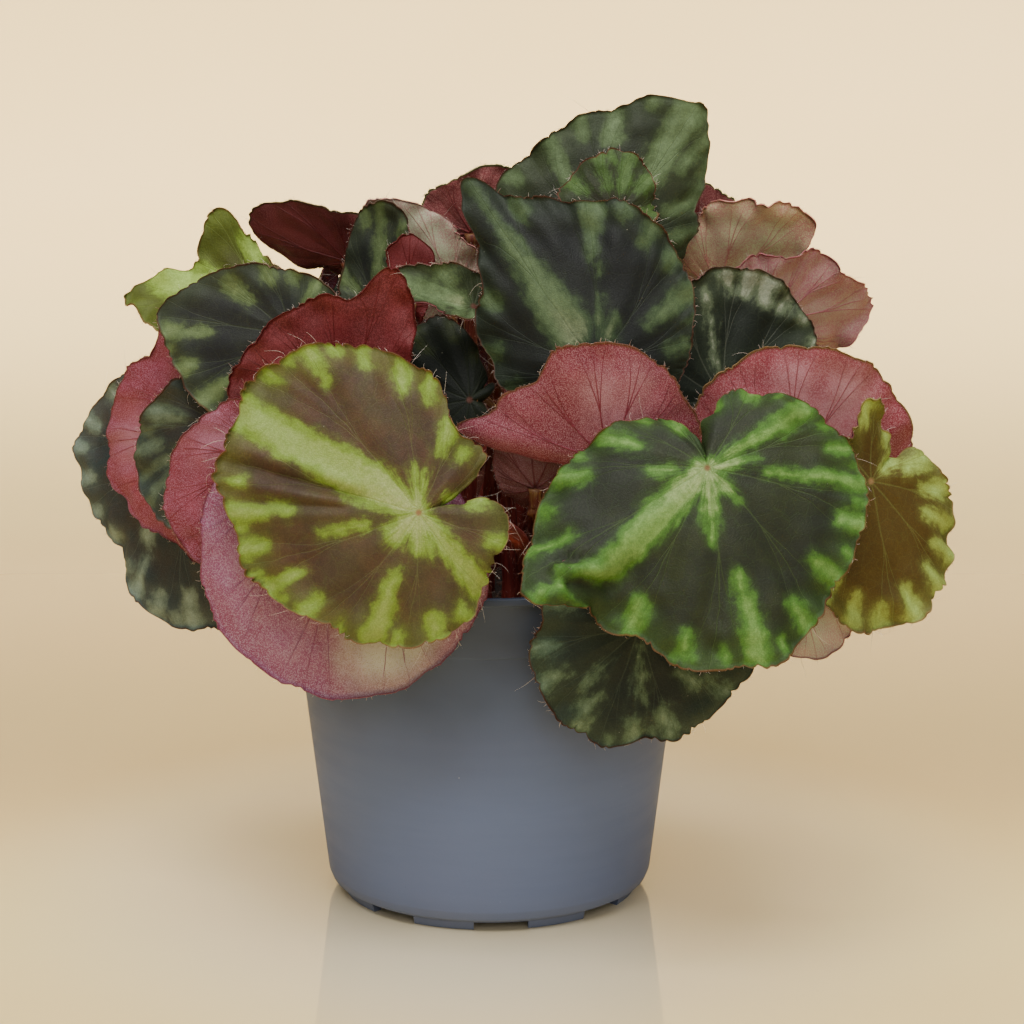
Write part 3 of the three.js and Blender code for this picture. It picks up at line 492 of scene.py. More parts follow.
# Colours of the upper faces: the ground, its deeper tone, the light pattern, its fringe, the rim.
RIM = (92, 52, 42)
UPPER = {
    "dark": [(31, 34, 30), (23, 25, 24), (88, 106, 71), (59, 75, 48), RIM],
    # The next row is the dark one darkened, as painted shade for a leaf deep among the others.
    "shade": [(27, 33, 24), (20, 24, 19), (64, 73, 39), (42, 50, 25), RIM],
    "dusk": [(47, 49, 43), (36, 37, 37), (119, 136, 89), (87, 102, 63), RIM],
    "bright": [(48, 54, 29), (37, 41, 29), (126, 159, 87), (73, 113, 41), (110, 62, 39)],
    "brown": [(79, 70, 45), (69, 53, 40), (149, 166, 94), (118, 143, 53), (133, 84, 57)],
    "green": [(51, 57, 35), (40, 45, 31), (109, 129, 89), (77, 93, 58), RIM],
    "young": [(49, 44, 30), (39, 40, 26), (92, 115, 65), (69, 93, 43), (108, 49, 40)],
    "silver": [(43, 54, 43), (34, 41, 37), (120, 141, 114), (78, 97, 73), RIM],
    "slate": [(40, 48, 32), (31, 36, 27), (167, 171, 146), (89, 100, 73), RIM],
    "outer": [(46, 57, 60), (60, 54, 52), (148, 166, 150), (107, 121, 106), RIM],
    "mid": [(39, 50, 49), (51, 46, 42), (109, 122, 98), (78, 89, 68), RIM],
    "yellow": [(84, 92, 32), (68, 68, 24), (174, 203, 100), (124, 148, 58), (135, 101, 68)],
    "olive": [(84, 68, 29), (73, 57, 23), (170, 197, 108), (140, 157, 75), (140, 108, 73)],
}
# Colours of the undersides: base, deeper tone, paler stipple, veins, the rim.
UNDER = {
    "mauve": [(138, 80, 110), (120, 50, 78), (180, 162, 174), (121, 63, 88), (138, 52, 70)],
    "rose": [(148, 72, 80), (124, 38, 48), (186, 140, 142), (113, 51, 49), (131, 126, 66)],
    "ruby": [(128, 49, 65), (104, 27, 43), (182, 142, 146), (96, 33, 36), (112, 87, 50)],
    "red": [(119, 61, 76), (97, 39, 47), (141, 117, 127), (89, 39, 40), (107, 50, 51)],
    "wine": [(112, 34, 37), (83, 20, 19), (142, 66, 68), (76, 20, 15), (91, 26, 21)],
    "coral": [(136, 54, 68), (108, 28, 38), (174, 124, 144), (112, 44, 46), (108, 56, 50)],
    # The next row is darkened, as painted shade for a small leaf low in the gap under the others.
    "plum_in_shade": [(100, 51, 50), (81, 30, 30), (119, 99, 88), (75, 30, 25), (90, 40, 33)],
    "crimson": [(99, 35, 34), (74, 23, 23), (130, 74, 68), (64, 23, 21), (85, 94, 55)],
    "scarlet": [(139, 63, 64), (105, 45, 46), (180, 125, 118), (93, 45, 43), (120, 158, 97)],
    "pale": [(158, 106, 110), (141, 74, 85), (158, 158, 129), (136, 66, 72), (149, 62, 78)],
    "silver": [(196, 171, 157), (175, 123, 122), (196, 233, 182), (169, 110, 104), (186, 105, 112)],
    "faded": [(206, 160, 142), (184, 114, 110), (206, 234, 165), (178, 101, 94), (195, 97, 101)],
    "blush": [(167, 139, 141), (149, 98, 109), (167, 204, 163), (144, 87, 93), (158, 84, 100)],
}
# How far fine feathering and broad patches move the border of the light pattern, in mm, and the
# upper faces where they move it more or where a reddish bloom shows.
FEATHER = 4.6
PATCHY = 5.0
JAGGED = {"silver": 1.4, "slate": 1.4}
BLUSHING = {"brown": 0.12}
# How far the light pattern shows through on the underside, and in what colour if not the pale one.
SHOWING = {
    "mauve": 0.7, "rose": 0.8, "ruby": 0.6, "wine": 0.7, "coral": 0.75, "pale": 0.7, "silver": 0.7,
    "faded": 0.7, "blush": 0.7,
}
THROUGH = {"mauve": srgb(198, 210, 174)}
STALK_END = srgb(208, 204, 160)  # the light pattern beside the stalk
SHADOW = srgb(8, 10, 8)
DUST = srgb(190, 190, 170)
# The pot's colours by height, with painted shade towards the rim, and the table's by distance, with painted
# light and shade, in metres.
POT_SHADED_TONES = [
    (0.0, (106, 112, 130)), (0.012, (106, 116, 144)), (0.037, (103, 116, 149)), (0.057, (88, 99, 128)),
    (0.069, (68, 78, 101)), (0.091, (39, 45, 54)),
]
# painted light and shade: the table's and backdrop's brightness by distance, darker just behind the pot
STAGE_LIT_TONES = [
    (-0.12, (253, 223, 153)), (-0.02, (253, 225, 152)), (0.07, (210, 180, 122)), (0.16, (187, 161, 109)),
    (0.34, (222, 190, 130)), (0.5, (225, 196, 132)), (0.98, (187, 161, 107)), (1.6, (153, 130, 84)),
]


# ---- meshes ---------------------------------------------------------------------------------
def mesh_object(name, points, faces, attributes=None, materials=(), slots=None):
    """A smooth object from points in mm and a list of face arrays, each (count, corners)."""
    mesh = bpy.data.meshes.new(name)
    mesh.vertices.add(len(points))
    mesh.vertices.foreach_set("co", (np.asarray(points, float) * MM).astype(np.float32).ravel())
    corners = np.concatenate([group.ravel() for group in faces]).astype(np.int32)
    sizes = np.concatenate([np.full(len(group), group.shape[1]) for group in faces])
    starts = np.concatenate([[0], np.cumsum(sizes)[:-1]]).astype(np.int32)
    mesh.loops.add(len(corners))
    mesh.loops.foreach_set("vertex_index", corners)
    mesh.polygons.add(len(sizes))
    mesh.polygons.foreach_set("loop_start", starts)
    mesh.polygons.foreach_set("use_smooth", np.full(len(sizes), True))
    for material in materials:
        mesh.materials.append(material)
    if slots is not None:
        mesh.polygons.foreach_set("material_index", np.concatenate(slots).astype(np.int32))
    for key, values in (attributes or {}).items():
        values = np.asarray(values, np.float32)
        kind, field = ("FLOAT_VECTOR", "vector") if values.ndim == 2 else ("FLOAT", "value")
        mesh.attributes.new(key, kind, "POINT").data.foreach_set(field, values.ravel())
    mesh.update(calc_edges=True)
    made = bpy.data.objects.new(name, mesh)
    bpy.context.scene.collection.objects.link(made)
    return made


def joined(parts):
    """Several (points, faces, …) sets as one set of points and the faces of each."""
    starts = np.cumsum([0] + [len(part[0]) for part in parts])
    faces = [[group + start for group in part[1]] for part, start in zip(parts, starts)]
    return np.concatenate([part[0] for part in parts]), faces


def flattened(groups):
    """The faces of all sets in one list."""
    return [faces for group in groups for faces in group]


def unit(vectors):
    length = np.linalg.norm(vectors, axis=-1, keepdims=True)
    return vectors / np.maximum(length, 1e-9)


def circle(count):
    """Even turns round a full circle."""
    return 2 * np.pi * np.arange(count) / count


def tubes(paths, radii, sides):
    """Closed tubes along paths (count, steps, 3), with radii (count, steps)."""
    count, steps, _ = paths.shape
    ahead = unit(np.gradient(paths, axis=1))
    helper = np.where(np.abs(ahead[..., 2:3]) < 0.9, [0.0, 0.0, 1.0], [1.0, 0.0, 0.0])
    first = unit(np.cross(ahead, helper[:, :1] + 0 * ahead))
    second = np.cross(ahead, first)
    angle = circle(sides)[None, None, :, None]
    ring = first[:, :, None] * np.cos(angle) + second[:, :, None] * np.sin(angle)
    points = paths[:, :, None] + ring * radii[:, :, None, None]
    base = (np.arange(count) * steps * sides)[:, None, None]
    side = np.arange(sides)
    low = base + (np.arange(steps - 1) * sides)[:, None]
    after = low + (side + 1) % sides
    quads = np.stack([low + side, after, after + sides, low + side + sides], axis=-1).reshape(-1, 4)
    ends = side + base[:, 0]
    caps = np.concatenate([ends[:, ::-1], ends + (steps - 1) * sides])
    return points.reshape(-1, 3), [quads, caps]


def turned_about_z(x, y, angle):
    c, s = np.cos(angle), np.sin(angle)
    return x * c - y * s, x * s + y * c


# ---- the leaf's formula ---------------------------------------------------------------------
def ramped(value, low, high):
    """0 below low, 1 above high and even in between."""
    return np.clip((value - low) / (high - low), 0, 1)


def apart(turn, direction):
    """The angle between a turn in radians and a direction in degrees, with its sign."""
    return np.angle(np.exp(1j * (turn - radians(direction))))


def summed(humps, turn):
    """The sum of round humps, each by direction, width and height."""
    total = np.zeros_like(turn)
    for direction, width, height in humps:
        total += height * np.exp(-((apart(turn, direction) / radians(width)) ** 2))
    return total


def edge_radius(leaf, turn):
    """The outline: an ellipse round a shifted middle, with bulges, drawn in at the sinus."""
    c, s = np.cos(turn), np.sin(turn)
    a, b = leaf["size"]
    cu, cv = leaf["off"]
    square = (c / a) ** 2 + (s / b) ** 2
    half = c * cu / a**2 + s * cv / b**2
    rest = (cu / a) ** 2 + (cv / b) ** 2 - 1
    radius = (half + np.sqrt(half**2 - square * rest)) / square
    away = np.abs(apart(turn, leaf["sinus"]))
    ease = np.minimum(1, (away - radians(SINUS_OPEN / 2)) / radians(SINUS_EASE))
    rounding = LOBE_FLOOR + (1 - LOBE_FLOOR) * np.sqrt(np.maximum(0, 1 - (1 - ease) ** 2))
    return (radius + summed(leaf.get("bulges", []), turn)) * rounding


def bend(points, row):
    """Bends what lies past a line over an arc."""
    direction, start, angle, arc = row
    c, s = np.cos(radians(direction)), np.sin(radians(direction))
    along, across, up = np.moveaxis(points, -1, 0)
    past = along * c + across * s - start
    side = -along * s + across * c
    turn = radians(angle) * np.clip(past, 0, arc) / arc
    bend_radius = arc / radians(angle)
    beyond = np.maximum(0, past - arc)
    reach = start + (bend_radius - up) * np.sin(turn) + beyond * np.cos(turn)
    lift = bend_radius - (bend_radius - up) * np.cos(turn) + beyond * np.sin(turn)
    bent = np.stack([reach * c - side * s, reach * s + side * c, lift], axis=-1)
    return np.where((past > 0)[..., None], bent, points)


def blade_points(leaf, turn, share, factor):
    """Points of the blade's middle surface in the leaf's own frame."""
    radius = edge_radius(leaf, turn) * share * factor
    height, count, phase = leaf["ruffle"]
    up = leaf["cup"] * share**2
    up = up + height * share**3 * np.sin(count * turn + radians(phase))
    up = up + summed(leaf.get("waves", []), turn) * share**2.5
    points = np.stack([radius * np.cos(turn), radius * np.sin(turn), up], axis=-1)
    for row in leaf.get("bends", []):
        points = bend(points, row)
    return points


def leaf_axes(leaf):
    """The directions along and across the blade and out of its upper face."""
    turn, tilt, spin = radians([*leaf["face"], leaf["spin"]])
    out = np.array([np.sin(turn) * np.cos(tilt), -np.cos(turn) * np.cos(tilt), np.sin(tilt)])
    right = np.array([np.cos(turn), np.sin(turn), 0.0])
    along = right * np.cos(spin) + np.cross(out, right) * np.sin(spin)
    return np.stack([along, np.cross(out, along), out])


# ---- veins ------------------------------------------------------------------------------------
def vein_map(leaf, random):
    """Knots of the vein count against the turn: the main veins lie at whole numbers."""
    first = leaf["sinus"] + SINUS_OPEN / 2
    last = first + 360 - SINUS_OPEN
    tip = first + (0 - first) % 360
    turns = [tip]
    for sense, limit in ((-1, first), (1, last)):
        turn = tip
        while True:
            turn += sense * VEIN_SPACING * random.uniform(1 - VEIN_JITTER, 1 + VEIN_JITTER)
            if sense * (limit - turn) < VEIN_END_GAP:
                break
            turns.append(turn)
    turns = np.array(sorted(turns))
    ends = (turns[0] - first) / VEIN_SPACING, (last - turns[-1]) / VEIN_SPACING
    knots = np.concatenate([[first], turns, [last]])
    counts = np.concatenate([[-ends[0]], np.arange(len(turns)), [len(turns) - 1 + ends[1]]])
    return radians(knots), counts, int(np.argmin(np.abs(turns - tip)))


def vein_count(knots, counts, turn, share):
    return np.interp(turn + VEIN_BOW * np.sin(turn) * share**2, knots, counts)


def vein_turn(knots, counts, count, share):
    turn = np.interp(count, counts, knots)
    return turn - VEIN_BOW * np.sin(turn) * share**2


def fork_spread(share):
    return FORK_SPREAD * (share - FORK_START) / (1 - FORK_START)


def vein_distance(count, share, reach):
    """How far a point lies from the nearest main vein or fork, in mm."""
    off = np.abs(count - np.round(count))
    fork = np.clip(fork_spread(share), 0, FORK_SPREAD)
    return np.minimum(off, np.abs(off - fork)) * reach


# ---- the light pattern ----------------------------------------------------------------------
def own_streaks(knots, middle, random):
    """A band along the midrib and light patches where the veins reach the edge."""
    knots = np.degrees(knots)
    rows = [(knots[middle + 1], 3, 93, 2.6, 3.4)]
    for place, turn in enumerate(knots[1:-1]):
        if place == middle:
            continue
        inner = random.choice([35, 62, 74, 80])
        rows.append((turn, inner, 94, random.uniform(0.5, 1.2), random.uniform(1.8, 2.9)))
    for low, high in zip(knots, knots[1:]):
        turn = low + (high - low) * random.uniform(0.4, 0.6)
        rows.append((turn, random.uniform(82, 92), 95, 0.9, random.uniform(0.9, 1.7)))
    return rows


def flat_points(leaf, turn, share):
    """Places in the leaf's own plane, in mm."""
    radius = edge_radius(leaf, turn) * share
    return np.stack([radius * np.cos(turn), radius * np.sin(turn)], axis=-1)


def from_line(leaf, flat, *ends):
    """How far along a straight line each point lies, 0 to 1, and its distance from it in mm."""
    turns, percents = np.array(ends, float).T
    start, end = flat_points(leaf, radians(turns), percents / 100)
    run = end - start
    part = np.clip((flat - start) @ run / max(run @ run, 1e-6), 0, 1)
    return part, np.linalg.norm(flat - start - part[..., None] * run, axis=-1)


def light_field(leaf, flat, rows):
    """Signed distance to the light patches, in mm, above zero inside them."""
    field = np.full(flat.shape[:-1], NO_LIGHT)
    for direction, inner, outer, narrow, wide, *turned in rows:
        last = turned[0] if turned else direction
        part, distance = from_line(leaf, flat, (direction, inner), (last, outer))
        field = np.maximum(field, narrow + (wide - narrow) * part - distance)
    return field


def crease_relief(leaf, flat):
    """Ridges and valleys along lines, in mm."""
    relief = np.zeros(flat.shape[:-1])
    for start, end, width, height in leaf.get("creases", []):
        relief += height * np.exp(-((from_line(leaf, flat, start, end)[1] / width) ** 2))
    return relief


# ---- blades ---------------------------------------------------------------------------------
def soft_waves(random, points, strength, row):
    """A smooth random relief over points (…, 2), as a sum of plane waves."""
    count, height, shortest, longest = row
    total = np.zeros(points.shape[:-1])
    for _ in range(count):
        angle, phase = random.uniform(0, 2 * np.pi, 2)
        length = random.uniform(shortest, longest)
        wave = points[..., 0] * np.cos(angle) + points[..., 1] * np.sin(angle)
        total += np.sin(2 * np.pi * wave / length + phase)
    return height * strength * total / np.sqrt(count)


def surface_normals(grid, out):
    """Unit normals of a grid (rings, spokes, 3) that point to the side of out."""
    normals = unit(np.cross(np.gradient(grid, axis=0), np.gradient(grid, axis=1)))
    return normals if np.mean(normals[-1] @ out) > 0 else -normals


def sines(run, *rows):
    """A sum of sine waves, each by height, rate and start."""
    return sum(height * np.sin(run * rate + start) for height, rate, start in rows)


def tooth_factor(leaf, turn, share, random):
    """The scalloped edge: round lobes with sharp notches, uneven in size."""
    turn = turn[-1]
    radius = edge_radius(leaf, turn)
    lengths = np.hypot(np.gradient(radius * np.cos(turn)), np.gradient(radius * np.sin(turn)))
    run = np.cumsum(lengths) / TOOTH_PITCH
    starts = random.uniform(0, 6, 5)
    run = run + sines(run, (0.5, 0.61, starts[0]), (0.3, 1.7, starts[1]))
    size = 0.6 + sines(run, (0.5, 0.83, starts[2]), (0.35, 2.3, starts[3]))
    lobes = np.abs(np.sin(np.pi * run)) ** 0.8 - 0.7
    depth = TOOTH_DEPTH * leaf.get("teeth", 1.0) * np.clip(size, 0.1, 1.4) * lobes
    wander = EDGE_WANDER * sines(run, (1, 1.3, starts[4]), (1, 0.47, starts[1]))
    near = ramped(share, TOOTH_START, 1) ** 2
    notches = summed(leaf.get("notches", []), turn)
    return 1 + near * ((depth + wander + notches) / np.maximum(radius, 6))[None]


def blade_relief(leaf, count, share, reach, flat, random):
    """How far the surface stands off the plain one: quilting, waves and creases, in mm."""
    quilt = 1 - np.exp(-((vein_distance(count, share, reach) / QUILT_WIDTH) ** 2))
    fading = np.clip(share / QUILT_START, 0, 1) * np.clip((1 - share) / QUILT_END, QUILT_LEFT, 1)
    relief = QUILT * leaf.get("quilt", 1.0) * quilt * fading
    frill = leaf.get("frill", 1.0)
    relief += soft_waves(random, flat, frill, BLADE_WAVES) * share
    relief += soft_waves(random, flat, frill, EDGE_WAVES) * ramped(share, 0.5, 1) ** 1.6
    return relief + crease_relief(leaf, flat)


def blade_sheet(leaf, random):
    """The blade's middle surface, its upper normals and what the pattern needs at each point."""
    axes = leaf_axes(leaf)
    first = radians(leaf["sinus"] + SINUS_OPEN / 2)
    spokes = np.linspace(first, first + radians(360 - SINUS_OPEN), leaf.get("spokes", SPOKES) + 1)
    rings = np.linspace(0, 1, RINGS + 1)[1:] ** RING_POWER
    share, turn = np.meshgrid(rings, spokes, indexing="ij")
    knots, counts, middle = vein_map(leaf, random)
    count = vein_count(knots, counts, turn, share)
    radius = edge_radius(leaf, turn)
    veins_per_turn = np.gradient(count, axis=1) / np.gradient(turn, axis=1)
    reach = radius * share / np.maximum(veins_per_turn, 0.05)
    factor = tooth_factor(leaf, turn, share, random)
    smooth = np.array(leaf["at"], float) + blade_points(leaf, turn, share, factor) @ axes
    flat = flat_points(leaf, turn, share)
    relief = blade_relief(leaf, count, share, reach, flat, random)
    sheet = smooth + surface_normals(smooth, axes[2]) * relief[..., None]
    facts = {
        "share": share,
        "vein": count,
        "reach": reach,
        "rim": radius * (1 - share),
        "hub": radius * share,
        "light": light_field(leaf, flat, leaf.get("streaks") or own_streaks(knots, middle, random)),
        "flat": np.concatenate([flat, np.full(share.shape + (1,), leaf["seed"])], axis=-1),
    }
    return {
        "axes": axes, "grid": sheet, "normals": surface_normals(sheet, axes[2]), "facts": facts,
        "knots": knots, "counts": counts, "turn": turn, "share": share,
    }


def shell_facts(facts, rim_loop):
    """What the pattern needs, for both faces and the rim, each face with its centre first."""
    made = {}
    for key, values in facts.items():
        centre = values[0].mean(axis=0)[None]
        if key in ("share", "reach", "hub"):
            centre = centre * 0
        if key == "flat":
            centre = centre * [[0, 0, 1]]
        face = np.concatenate([centre, values.reshape(-1, *values.shape[2:])])
        made[key] = np.concatenate([face, face, face[rim_loop]])
    return made


def thickness_at(share):
    return BLADE_MIDDLE + (BLADE_EDGE - BLADE_MIDDLE) * share


def blade_shell(leaf, sheet):
    """A closed thin shell: upper face, lower face and a rounded rim."""
    grid = sheet["grid"]
    rings, spokes = sheet["share"].shape
    half = sheet["normals"] * thickness_at(sheet["share"])[..., None] / 2
    out = sheet["axes"][2] * BLADE_MIDDLE / 2
    centre = np.array(leaf["at"], float)
    index = np.arange(rings * spokes).reshape(rings, spokes) + 1
    quads = np.stack([index[:-1, :-1], index[1:, :-1], index[1:, 1:], index[:-1, 1:]], -1).reshape(-1, 4)
    fan = np.stack([np.zeros(spokes - 1, int), index[0, :-1], index[0, 1:]], -1)
    rim_loop = np.concatenate([[0], index[:, 0], index[-1, 1:], index[-2::-1, -1]])
    outward = np.concatenate([
        [2 * centre - grid[0, 0] - grid[0, -1]],
        grid[:, 0] - grid[:, 1],
        (grid[-1] - grid[-2])[1:],
        (grid[:, -1] - grid[:, -2])[-2::-1],
    ])
    rim = np.concatenate([[centre], grid.reshape(-1, 3)])[rim_loop] + unit(outward) * RIM_ROUNDING
    skins = [np.vstack([centre + sense * out, (grid + sense * half).reshape(-1, 3)]) for sense in (1, -1)]
    below = rings * spokes + 1
    ring = np.arange(len(rim_loop)) + 2 * below
    ring_after, loop_after = np.roll(ring, -1), np.roll(rim_loop, -1)
    rim_upper = np.stack([rim_loop, ring, ring_after, loop_after], -1)
    rim_lower = np.stack([ring, rim_loop + below, loop_after + below, ring_after], -1)
    faces = [
        quads, fan, quads[:, ::-1] + below, fan[:, ::-1] + below, rim_upper[:, ::-1], rim_lower[:, ::-1],
    ]
    slots = [np.full(len(group), side) for group, side in zip(faces, (0, 0, 1, 1, 0, 1))]
    return np.concatenate([*skins, rim]), faces, slots, shell_facts(sheet["facts"], rim_loop)


def on_sheet(sheet, turn, share):
    """Places and upper normals on the blade's middle surface, between the grid's points."""
    turns = sheet["turn"][0]
    ring = np.interp(share, sheet["share"][:, 0], np.arange(RINGS))
    spoke = (turn - turns[0]) / (turns[1] - turns[0])
    low = np.clip(ring.astype(int), 0, RINGS - 2)
    side = np.clip(spoke.astype(int), 0, len(turns) - 2)
    a, b = (ring - low)[:, None], (spoke - side)[:, None]
    found = []
    for grid in (sheet["grid"], sheet["normals"]):
        near = grid[low, side] * (1 - b) + grid[low, side + 1] * b
        far = grid[low + 1, side] * (1 - b) + grid[low + 1, side + 1] * b
        found.append(near * (1 - a) + far * a)
    return found


def ridge_tubes(sheet):
    """The raised veins under the blade and their forks, which taper towards the edge."""
    knots, counts = sheet["knots"], sheet["counts"]
    paths, radii = [], []
    for place in range(len(counts) - 2):
        for sense in (0, -1, 1):
            if sense and not counts[0] + FORK_CLEAR < place + sense * FORK_REACH < counts[-1] - FORK_CLEAR:
                continue
            start, end, thick, thin = FORK_RIDGE if sense else MAIN_RIDGE
            share = np.linspace(start, end, RIDGE_STEPS)
            turn = vein_turn(knots, counts, place + sense * fork_spread(share), share)
            middle, normals = on_sheet(sheet, turn, share)
            paths.append(middle - normals * thickness_at(share)[:, None] / 2)
            radii.append(thick + (thin - thick) * np.linspace(0, 1, RIDGE_STEPS) ** RIDGE_TAPER)
    return tubes(np.array(paths), np.array(radii), RIDGE_SIDES)


# ---- stalks ---------------------------------------------------------------------------------
def standing_places():
    """Where each stalk stands on its ring, in the order that the leaves have round the pot."""
    places = {}
    for ring, radius in enumerate(ROOT_RINGS):
        turns = {
            name: math.atan2(leaf["at"][1], leaf["at"][0])
            for name, leaf in LEAVES.items() if leaf["ring"] == ring
        }
        around = sorted(turns, key=turns.get)
        for place, name in enumerate(around):
            angle = turns[around[0]] + 2 * math.pi * place / len(around)
            places[name] = (radius * math.cos(angle), radius * math.sin(angle))
    return places


def stalk_path(leaf, axes, place):
    """Even steps along the stalk, from inside the soil to the blade's lower face."""
    at = np.array(leaf["at"], float)
    foot = np.array([*place, SOIL_LEVEL + STALK_FOOT])
    risen = foot + [0, 0, leaf.get("rise", STALK_RISE)]
    if "source" in leaf:
        arrival = at + np.array(leaf["source"], float)
    else:
        notch = radians(leaf["sinus"])
        beside = axes[0] * np.cos(notch) + axes[1] * np.sin(notch)
        arrival = at - axes[2] * STALK_BELOW + beside * STALK_BESIDE
    end = at - axes[2] * STALK_SHORT
    t = np.linspace(0, 1, CURVE_STEPS)[:, None]
    curve = (1 - t) ** 3 * foot + 3 * (1 - t) ** 2 * t * risen + 3 * (1 - t) * t**2 * arrival + t**3 * end
    length = np.concatenate([[0], np.cumsum(np.linalg.norm(np.diff(curve, axis=0), axis=1))])
    even = np.linspace(0, length[-1], STALK_STEPS)
    steps = np.stack([np.interp(even, length, curve[:, i]) for i in range(3)], axis=-1)
    below = foot - np.array([0, 0, 1.0]) * np.linspace(STALK_DEPTH, STALK_FOOT, BURIED_STEPS)[:, None]
    return np.concatenate([below, steps])


def stalk_tube(leaf, axes, path, random):
    """A slightly uneven tube that stops short of the blade's upper face."""
    steps = np.arange(len(path))
    share = np.clip((steps - BURIED_STEPS) / (STALK_STEPS - 1), 0, 1)
    radius = STALK_RADIUS_FOOT + (STALK_RADIUS_TOP - STALK_RADIUS_FOOT) * share
    radius = radius * (1 + 0.04 * np.sin(steps * 0.9 + random.uniform(0, 6)))
    radius[-1] *= STALK_FLARE
    points, faces = tubes(path[None], radius[None], STALK_SIDES)
    from_end = points - np.array(leaf["at"], float)
    near = np.linalg.norm(from_end, axis=-1) < STALK_TRIM
    over = np.where(near, np.maximum(from_end @ axes[2] + STALK_SHORT, 0), 0)
    points = points - over[:, None] * axes[2]
    around = np.tile(circle(STALK_SIDES), len(path))
    run = np.repeat(steps * 2.0, STALK_SIDES)
    flat = np.stack([run, 4 * np.cos(around), 4 * np.sin(around) + leaf["seed"]], axis=-1)
    return points, faces, {"share": np.repeat(share, STALK_SIDES), "flat": flat}, radius


# ---- hairs ----------------------------------------------------------------------------------
def hair_strands(roots, directions, lengths, curl, thick, tint):
    """Thin curved hairs that taper to a point: points, faces, how far along each is and its tint."""
    run = np.linspace(0, 1, HAIR_STEPS)
    steps = run[None, :, None]
    swing = np.cross(directions, curl)
    paths = directions[:, None] * steps + curl[:, None] * steps**2 + swing[:, None] * 0.6 * steps**3
    paths = roots[:, None] + lengths[:, None, None] * paths
    radii = thick[:, None] * (1.05 - run)[None] ** 0.6
    points, faces = tubes(paths, radii, HAIR_SIDES)
    along = np.repeat(np.tile(run, len(roots)), HAIR_SIDES)
    return points, faces, along, np.repeat(tint, HAIR_SIDES * HAIR_STEPS)


def edge_hairs(leaf, sheet, random):
    """Short bristles on the teeth, with longer curled hairs among them."""
    outline = sheet["grid"][-1]
    outward = unit(outline - sheet["grid"][-3])
    forward = unit(np.gradient(outline, axis=0))
    long = leaf.get("wisps", WISPS)
    count = BRISTLES + long
    pick = random.integers(3, len(outline) - 4, count)
    length = np.concatenate([
        random.uniform(*BRISTLE_LENGTH, BRISTLES), random.uniform(*WISP_LENGTH, long),
    ])
    spread = random.normal(0, 1, (count, 3))
    along, off = (spread[:, place, None] * HAIR_LEAN[place] for place in (0, 1))
    direction = unit(outward[pick] + forward[pick] * along + sheet["normals"][-1][pick] * off)
    curl = unit(random.normal(0, 1, (count, 3))) * random.uniform(*HAIR_CURL, count)[:, None]
    wispy = length > BRISTLE_LENGTH[1]
    thick = np.where(wispy, WISP_THICK, BRISTLE_THICK)
    tint = np.where(wispy, WISP_TINT, random.uniform(0.0, 0.45, count))
    return hair_strands(outline[pick], direction, length, curl, thick, tint)


def stalk_hairs(path, radius, random):
    """Soft hairs that stand off the stalk."""
    place = random.integers(BURIED_STEPS, len(path) - 1, STALK_HAIRS)
    ahead = unit(np.gradient(path, axis=0))[place]
    away = unit(np.cross(ahead, random.normal(0, 1, (STALK_HAIRS, 3))))
    roots = path[place] + away * radius[place][:, None] * 0.9
    direction = unit(away + ahead * random.normal(0, 0.35, (STALK_HAIRS, 1)))
    curl = random.normal(0, 0.28, (STALK_HAIRS, 3))
    length = random.uniform(*STALK_HAIR_LENGTH, STALK_HAIRS)
    thick = np.full(STALK_HAIRS, STALK_HAIR_THICK)
    tint = np.full(STALK_HAIRS, STALK_HAIR_TINT)
    return hair_strands(roots, direction, length, curl, thick, tint)


# ---- a whole leaf -----------------------------------------------------------------------------
def leaf_facts(blade, ridges, stalk):
    """What the materials need at each point, for the blade, its ridges and the stalk in turn."""
    facts = {}
    for key, values in blade[3].items():
        veins = np.zeros((len(ridges[0]),) + values.shape[1:])
        stem = np.zeros((len(stalk[0]),) + values.shape[1:])
        facts[key] = np.concatenate([values, ridges[0] if key == "flat" else veins, stalk[2].get(key, stem)])
    return facts


def make_leaf(name, leaf, place, random):
    sheet = blade_sheet(leaf, random)
    path = stalk_path(leaf, sheet["axes"], place)
    blade = blade_shell(leaf, sheet)
    ridges = ridge_tubes(sheet)
    stalk = stalk_tube(leaf, sheet["axes"], path, random)
    points, groups = joined([blade, ridges, stalk])
    slots = blade[2] + [np.full(len(faces), slot) for slot in (2, 3) for faces in groups[slot - 1]]
    upper, under = leaf.get("upper", "dark"), leaf.get("under", "red")
    materials = (upper_material(upper), under_material(under), ridge_material(under), stalk_material())
    facts = leaf_facts(blade, ridges, stalk)
    made = mesh_object(name + "_fine", points, flattened(groups), facts, materials, slots)
    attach(made, "root")
    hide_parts(name)
    strands = [edge_hairs(leaf, sheet, random), stalk_hairs(path, stalk[3], random)]
    points, groups = joined(strands)
    facts = {"along": np.concatenate([part[2] for part in strands]),
             "tint": np.concatenate([part[3] for part in strands])}
    hairs = mesh_object(name + "_hairs", points, flattened(groups), facts, (hair_material(),))
    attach(hairs, "root")


